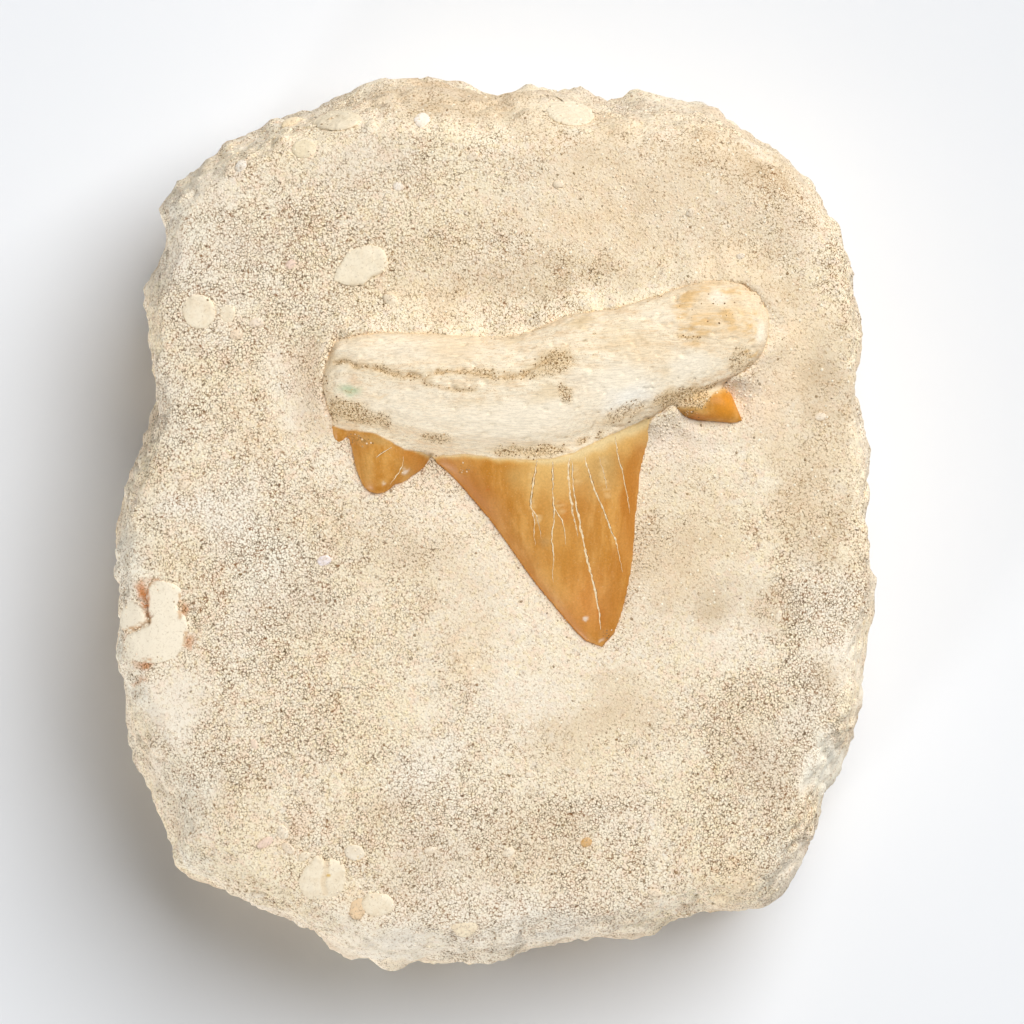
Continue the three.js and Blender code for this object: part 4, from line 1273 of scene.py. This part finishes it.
# %% Coarse grains
# A few grains are three to seven times as long as the rest: x, y, length, width, turn and colour.
coarse_grains = [
    (9.2, -32.2, 1.2, 0.9, 20, (222, 170, 96)), (-17, -4, 1.5, 1, 15, (250, 240, 240)),
    (-22.9, -32.2, 1.9, 0.9, 30, (250, 222, 202)), (-20.6, -32.8, 1.6, 0.9, -40, (248, 232, 208)),
    (-6.4, -33, 1.3, 0.8, 10, (250, 234, 210)), (19.6, 30.8, 1.1, 0.8, 50, (250, 236, 212)),
    (-9.6, 33.4, 1.2, 0.9, -20, (252, 240, 224)), (28.4, -9.6, 1.3, 0.7, 80, (248, 232, 206)),
    (3.6, -25.4, 1.1, 0.7, 0, (252, 238, 214)), (-31, 3.6, 1.3, 0.9, 35, (250, 232, 206)),
    (16, -37.2, 1.4, 0.8, -15, (248, 230, 204)), (24.6, 26.4, 1, 0.7, 20, (252, 238, 216)),
    (-24, -22.4, 1.2, 0.7, -60, (250, 226, 204)), (32.6, 10.4, 1.2, 0.8, 10, (250, 234, 210)),
    (-20.3, 40, 2.6, 1.2, 15, (246, 228, 194)), (-25.4, 35.4, 1.5, 1.1, 60, (248, 240, 226)),
    (-23.8, 19.8, 1.5, 1.1, 0, (250, 232, 210)), (-25.8, 18.6, 1.4, 1, 0, (250, 228, 200)),
    (-20.4, 25.6, 1.2, 0.9, 40, (250, 222, 204)), (-10.4, 22, 1.7, 1.1, -30, (250, 234, 206)),
    (-21.2, -31.2, 1.5, 1.1, -60, (250, 238, 216)), (-19, -33.6, 1.4, 0.9, 20, (250, 236, 210)),
    (-23.6, -37.4, 2, 1, 10, (252, 240, 218)), (-13.6, -38.7, 1.6, 2.6, -15, (246, 214, 172)),
    (-3, -40.6, 2.6, 2.2, 0, (248, 232, 202)), (1.4, -33.2, 1.3, 1, 30, (252, 238, 214)),
    (22.8, -37.6, 2.4, 1.8, 20, (248, 230, 198)), (6.4, 33.6, 1.2, 0.9, 0, (252, 234, 206)),
    (-2.2, 36.4, 1.3, 0.9, 25, (252, 236, 210)),
]
coarse_shape = bmesh.new()
coarse_colors = []
for number, (x, y, length, width, turn, color) in enumerate(coarse_grains):
    ground = dropped(sand_surface, x, y)[0]
    made = bmesh.ops.create_icosphere(coarse_shape, subdivisions=3, radius=0.5 * MM)["verts"]
    for vert in made:
        vert.co *= 1 + 0.16 * noise.noise(vert.co / MM * 2.4 + Vector((number * 3.1, 0, 0)))
    bmesh.ops.scale(coarse_shape, vec=(length, width, 0.4), verts=made)
    bmesh.ops.rotate(coarse_shape, matrix=Matrix.Rotation(math.radians(turn), 3, "Z"), verts=made)
    bmesh.ops.translate(coarse_shape, vec=ground, verts=made)
    coarse_colors += [tone(*color)] * len(made)
coarse_piece = new_piece("coarse_grains", coarse_shape)
put_colors(coarse_piece.data, "stain", coarse_colors)
print("coarse grains:", len(coarse_grains))

# %% [markdown]
# ## The colour of the sand
# Block and grains share their colours, so these come from one node group: a cream that drifts between
# cool and warm over centimetres, with fainter drifts of a millimetre or two, and the stains laid over it.
# It reads the place on the piece in millimetres.

# %% Sand tone group
sand_tone, board, start, end = new_group(
    "sand_tone", {"Place": "Vector", "Stain": "Color", "Strength": "Float"}, {"Color": "Color"})
place = start.outputs["Place"]
wide = board.spots(place, 0.10, 0.38, 0.62)
drift = board.mix(wide, tone(255, 243, 220), tone(255, 241, 212))
# Each drift is its noise's shift, scale, detail and roughness, its soft step, its share and its colour.
for shift, scale, detail, roughness, low, high, share, color in (
    (None, 0.42, 3, 0.6, 0.42, 0.72, 0.5, (248, 228, 200)),
    ((31.0, 7.0, 3.0), 0.9, 3, 0.65, 0.48, 0.66, 0.55, (255, 226, 200)),
    ((3.0, 17.0, 8.0), 1.5, 2, 0.6, 0.52, 0.66, 0.5, (250, 232, 190)),
    ((13.0, 2.0, 21.0), 1.2, 2, 0.6, 0.54, 0.68, 0.45, (236, 226, 212)),
):
    here = board.moved(place, shift) if shift else place
    patches = board.spots(here, scale, low, high, detail, roughness)
    drift = board.mix(board.times(patches, share), drift, tone(*color))
uneven = board.spots(place, 0.9, 0.2, 0.5, detail=3, least=0.6)
stained = board.mix(board.times(start.outputs["Strength"], uneven), drift, start.outputs["Stain"])
board.fill(end.inputs["Color"], stained)
print("nodes in the sand tone group:", len(sand_tone.nodes))

# %% [markdown]
# ## Dark specks
# Between the pale grains lie dark ones and little shadows, which show as short crooked specks. The seams
# between the cells of a cell pattern are where rounded grains meet. A noise keeps only some bits of them,
# in clusters, and the amount says how many.

# %% Specks group
specks, board, start, end = new_group(
    "specks", {"Place": "Vector", "Amount": "Float"}, {"Mask": "Float", "Halo": "Float", "Color": "Color"})
place, amount = start.outputs["Place"], start.outputs["Amount"]
wobble = board.add("ShaderNodeTexNoise", {"Vector": place, "Scale": 3.0, "Detail": 1.0}, "Color")
to_seam = board.seam_distance(board.moved(place, board.scaled(wobble, 0.35)), 3.4)
seams = board.step(to_seam, 0.04, 0.11, 1.0, 0.0)
clusters = board.noise(board.moved(place, (5.0, 11.0, 2.0)), 3.4, detail=3, roughness=0.7)
limit = board.math("SUBTRACT", 0.565, board.times(amount, 0.14))
bits = board.step(board.math("SUBTRACT", clusters, limit), -0.04, 0.1)
depth = board.step(amount, 0.0, 1.0, 0.5, 1.0)
board.fill(end.inputs["Mask"], board.times(board.times(seams, bits), depth))
beside_seams = board.step(to_seam, 0.08, 0.26, 1.0, 0.0)
near_bits = board.step(board.math("SUBTRACT", clusters, limit), -0.12, 0.06)
board.fill(end.inputs["Halo"], board.times(board.times(beside_seams, near_bits), depth))
reddish = board.spots(board.moved(place, (9.0, 4.0, 17.0)), 0.8, 0.42, 0.62)
board.fill(end.inputs["Color"], board.mix(reddish, tone(86, 58, 18), tone(132, 86, 44)))
print("nodes in the specks group:", len(specks.nodes))


def speck_masks(board, place, amount):
    """The outputs of the specks group, placed in a material."""
    return board.add("ShaderNodeGroup", {"Place": place, "Amount": amount}, None, node_tree=specks)


def sand_color(board, place):
    """The sand's colour, with the stains that a piece carries."""
    stain, strength = board.stain()
    inputs = {"Place": place, "Stain": stain, "Strength": strength}
    return board.add("ShaderNodeGroup", inputs, node_tree=sand_tone)


def speckled(board, body, dark):
    """A colour with dark specks over it, each in a tawny halo."""
    body = board.mix(board.times(dark["Halo"], 0.32), body, tone(216, 172, 104))
    return board.mix(board.times(dark["Mask"], 0.95), body, dark["Color"])


# %% Block finish
sand_finish, board, shader = new_material("sand_block")
place = board.place()
coarse = board.attribute("coarse")
body = speckled(board, sand_color(board, place), speck_masks(board, place, coarse))
rounded = board.step(board.seam_distance(place, 2.9), 0.0, 0.3)
relief = board.math("ADD", rounded, board.noise(place, 6.0, detail=2))
bump = board.bump(relief, strength=0.5, depth=0.05)
feed(board, shader, Base_Color=body, Normal=bump, Roughness=0.95, Specular_IOR_Level=0.2)
dress(sand_finish, stone)

# %% Grain finish
grain_finish, board, shader = new_material("sand_grain")
place = board.place()
tint = board.attribute("tint")
body = sand_color(board, place)
body = board.shaded(body, board.step(tint, 0.0, 1.0, 0.95, 1.05))
body = board.mix(board.step(tint, 0.9, 0.94, 0.0, 0.8), body, tone(255, 247, 226))
body = board.mix(board.step(tint, 0.015, 0.02, 0.8, 0.0), body, tone(140, 116, 84))
body = speckled(board, body, speck_masks(board, place, board.attribute("coarse")))
feed(board, shader, Base_Color=body, Roughness=0.8, Specular_IOR_Level=0.3)
dress(grain_finish, *grain_pieces, lapping_grains)

# %% Finish of the grains caught on the tooth
caught_finish, board, shader = new_material("caught_grain")
place = board.place()
tint = board.attribute("tint")
body = board.mix(board.step(tint, 0.56, 0.8), tone(204, 172, 128), tone(250, 232, 200))
brown_grains = board.mix(board.spots(place, 5.0, 0.4, 0.6), tone(100, 74, 38), tone(162, 122, 72))
body = board.mix(board.step(tint, 0.52, 0.56, 1.0, 0.0), body, brown_grains)
body = board.mix(board.spots(place, 4.0, 0.35, 0.65, most=0.3), body, tone(208, 170, 130))
feed(board, shader, Base_Color=body, Roughness=0.75, Specular_IOR_Level=0.35)
dress(caught_finish, caught)

# %% [markdown]
# ## Root and enamel
# One material covers the tooth, because root and enamel pass into each other. The distance below the neck
# line, in millimetres, decides between them. The root is matt, with brown streaks along its fibres. The
# enamel is glossy, with a thin clear coat and faint drifts of colour along the crown.

# %% Tooth finish
tooth_finish, board, shader = new_material("root_and_enamel")
place = board.place()
is_enamel = board.step(board.attribute("below_neck"), -0.1, 0.15)
sandy_here = board.attribute("sandy")
stain, strength = board.stain()

along_root = board.stretched(place, -0.1, (0.18, 1.0, 1.0))
streaks = board.spots(along_root, 1.5, 0.4, 0.7, detail=4, roughness=0.6)
root_color = board.mix(streaks, tone(253, 237, 208), tone(246, 221, 186))
thin_streaks = board.spots(along_root, 4.2, 0.54, 0.66, detail=3, roughness=0.7, most=0.65)
root_color = board.mix(thin_streaks, root_color, tone(226, 192, 150))
pores = board.spots(place, 7.0, 0.4, 0.3, detail=1, most=0.55)
root_color = board.mix(pores, root_color, tone(196, 158, 114))
pale_spots = board.spots(place, 0.9, 0.5, 0.7, detail=3, most=0.6)
root_color = board.mix(board.times(pale_spots, 0.7), root_color, tone(253, 240, 216))

along_crown = board.stretched(place, 0.32, (1.0, 0.22, 1.0))
drift = board.spots(along_crown, 0.9, 0.38, 0.65, detail=3, roughness=0.6)
crown_color = board.mix(drift, tone(200, 136, 54), tone(224, 166, 88))
clouds = board.spots(place, 0.35, 0.4, 0.7, detail=3, most=0.5)
crown_color = board.mix(clouds, crown_color, tone(200, 134, 54))
hair_lines = board.spots(along_crown, 6.0, 0.58, 0.74, most=0.18)
crown_color = board.mix(hair_lines, crown_color, tone(236, 196, 134))
dust = board.spots(place, 6.0, 0.69, 0.73, detail=1, most=0.3)
crown_color = board.mix(dust, crown_color, tone(240, 210, 164))

surface = board.mix(is_enamel, root_color, crown_color)
surface = board.mix(strength, surface, stain)
grit = board.spots(along_root, 6.5, 0.36, 0.64, detail=3, roughness=0.8, least=0.86, most=1.08)
mottle = board.spots(place, 5.0, 0.36, 0.64, detail=4, roughness=0.8, least=0.91, most=1.07)
surface = board.shaded(surface, board.step(is_enamel, 0.0, 1.0, grit, mottle))
dark = speck_masks(board, place, sandy_here)
speck_cover = board.times(dark["Mask"], board.step(sandy_here, 0.05, 0.5, 0.35, 0.95))
clean_enamel = board.math("SUBTRACT", is_enamel, sandy_here)
speck_cover = board.times(speck_cover, board.step(clean_enamel, 0.1, 0.5, 1.0, 0.0))
sand_film = board.times(sandy_here, board.step(is_enamel, 0.0, 1.0, 0.5, 0.15))
surface = board.mix(sand_film, surface, tone(230, 200, 154))
surface = board.mix(speck_cover, surface, tone(128, 94, 48))

gloss = board.times(is_enamel, board.step(sandy_here, 0.1, 0.5, 1.0, 0.0))
roughness = board.math("SUBTRACT", 0.85, board.times(gloss, 0.42))
fibre_height = board.noise(along_root, 5.0, detail=3)
bump_height = board.times(fibre_height, board.math("SUBTRACT", 1.0, gloss))
bump = board.bump(bump_height, strength=0.5, depth=0.06)
feed(board, shader, Base_Color=surface, Roughness=roughness, Normal=bump, Specular_IOR_Level=0.16)
feed(board, shader, Coat_Weight=board.times(gloss, 0.03), Coat_Roughness=0.25)
dress(tooth_finish, tooth)

# %% Finish of the cracks
for name, piece, scale, low, high, first, second, roughness in (
    ("crack_filling", crack_fillings, 3.0, 0.35, 0.65, (250, 232, 196), (236, 200, 146), 0.7),
    # The border's dark brown is painted shade along the sides of each crack.
    ("crack_border", crack_borders, 2.2, 0.42, 0.58, (136, 94, 46), (190, 134, 70), 0.5),
):
    crack_finish, board, shader = new_material(name)
    mottle = board.spots(board.place(), scale, low, high, detail=3)
    feed(board, shader, Base_Color=board.mix(mottle, tone(*first), tone(*second)), Roughness=roughness)
    dress(crack_finish, piece)

# %% Finish of the coarse grains
coarse_finish, board, shader = new_material("coarse_grain")
place = board.place()
mottle = board.spots(place, 2.4, 0.35, 0.65, detail=3)
body = board.mix(board.times(mottle, 0.45), board.attribute("stain", "Color"), tone(226, 200, 166))
dark = speck_masks(board, place, 0.5)
body = board.mix(board.times(dark["Mask"], 0.8), body, tone(140, 108, 70))
feed(board, shader, Base_Color=body, Roughness=0.6)
dress(coarse_finish, coarse_piece)

# %% [markdown]
# ## Chalky pebbles
# The pebbles share one finish: a pale chalky stone with soft mottling and a few specks. The scrap of bone
# is paler, with rust in its cracks, which is painted on as stains.

# %% Pebble finish
pebble_finish, board, shader = new_material("chalky_pebble")
place = board.place()
mottle = board.spots(place, 1.1, 0.35, 0.7, detail=4, roughness=0.6)
body = board.mix(mottle, tone(252, 238, 212), tone(242, 224, 194))
stain, strength = board.stain()
body = board.mix(strength, body, stain)
dark = speck_masks(board, place, 0.3)
body = board.mix(board.times(dark["Mask"], 0.6), body, tone(170, 142, 104))
bump = board.bump(board.noise(place, 4.0, detail=3), strength=0.4, depth=0.05)
feed(board, shader, Base_Color=body, Normal=bump, Roughness=0.85, Specular_IOR_Level=0.3)
dress(pebble_finish, *pebble_pieces.values())

pebble_tones = {
    "white_chip": tone(254, 244, 234), "white_pebble": tone(242, 230, 212),
    "flat_clast_left": tone(238, 220, 188), "flat_clast_right": tone(240, 224, 194),
    "round_clast": tone(238, 220, 182), "angular_pebble": tone(248, 235, 208),
}
rust_brown, rim_tan, gap_brown = tone(200, 124, 62), tone(214, 176, 134), tone(150, 104, 60)


def paint_bone(stains, places):
    """The bone's stains: rust in its wedge-shaped gap, dark cracks and tan scars along its rim."""
    shaken = ragged(places, 0.6, 0.2, 2.0)
    grainy = soft_step(lumps(places, 0.35, 3.0), -0.3, 0.3)
    stains.wash(tone(255, 243, 220), np.ones(len(places)), 0.75)
    wedge = in_oval(shaken, -35.1, -7.3, 0.7, 1.7, 10, core=0.6)
    wedge += near_path(shaken, [(-35.0, -8.2), (-34.6, -9.9)], 0.36)
    stains.wash(rust_brown, wedge * (0.3 + 0.7 * grainy), 0.95)
    stains.wash(gap_brown, near_path(shaken, [(-34.8, -9.2), (-34.55, -10.3)], 0.22), 0.8)
    stains.wash(gap_brown, near_path(shaken, [(-34.6, -9.9), (-33.9, -9.4)], 0.14), 0.7)
    stains.wash(rim_tan, near_path(shaken, bone_crack[2:], 0.5) * grainy, 0.8)
    stains.wash(gap_brown, near_path(shaken, [(-34.8, -10.2), (-36, -10.9)], 0.15), 0.75)
    stains.wash(gap_brown, near_path(shaken, [(-36, -8.1), (-35, -9)], 0.14), 0.7)
    for x, y, reach in ((-36.3, -10.9, 0.7), (-37.0, -11.4, 0.6), (-34.9, -14.0, 0.8), (-34.6, -6.3, 0.8)):
        stains.wash(tone(204, 160, 116), in_oval(shaken, x, y, reach, reach * 0.5) * grainy, 0.9)
    for path in ([(-31.4, -7.5), (-31.2, -8.6), (-31.5, -9.7)], [(-30.8, -11.2), (-31, -12.5)]):
        stains.wash(rim_tan, near_path(shaken, path, 0.35), 0.8)


for name, pebble in pebble_pieces.items():
    places = places_of(pebble.data)
    pebble_stains = Stains(len(places))
    if name in pebble_tones:
        pebble_stains.wash(pebble_tones[name], 0.5 + 0.4 * lumps(places, 1.5, 4.0))
    if name == "bone_fragment":
        paint_bone(pebble_stains, places)
    if name == "twin_nodule":
        pebble_stains.wash(tone(236, 214, 180), near_path(places, twin_groove, 0.4), 0.7)
        pebble_stains.wash(tone(226, 186, 104), in_oval(places, -16.6, -35.5, 0.3, 0.22), 0.9)
    put_colors(pebble.data, "stain", pebble_stains.colors)

# %% Finish
low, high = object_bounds()
print("the finished box in mm:", [round(v / MM, 2) for v in (*low, *high)])
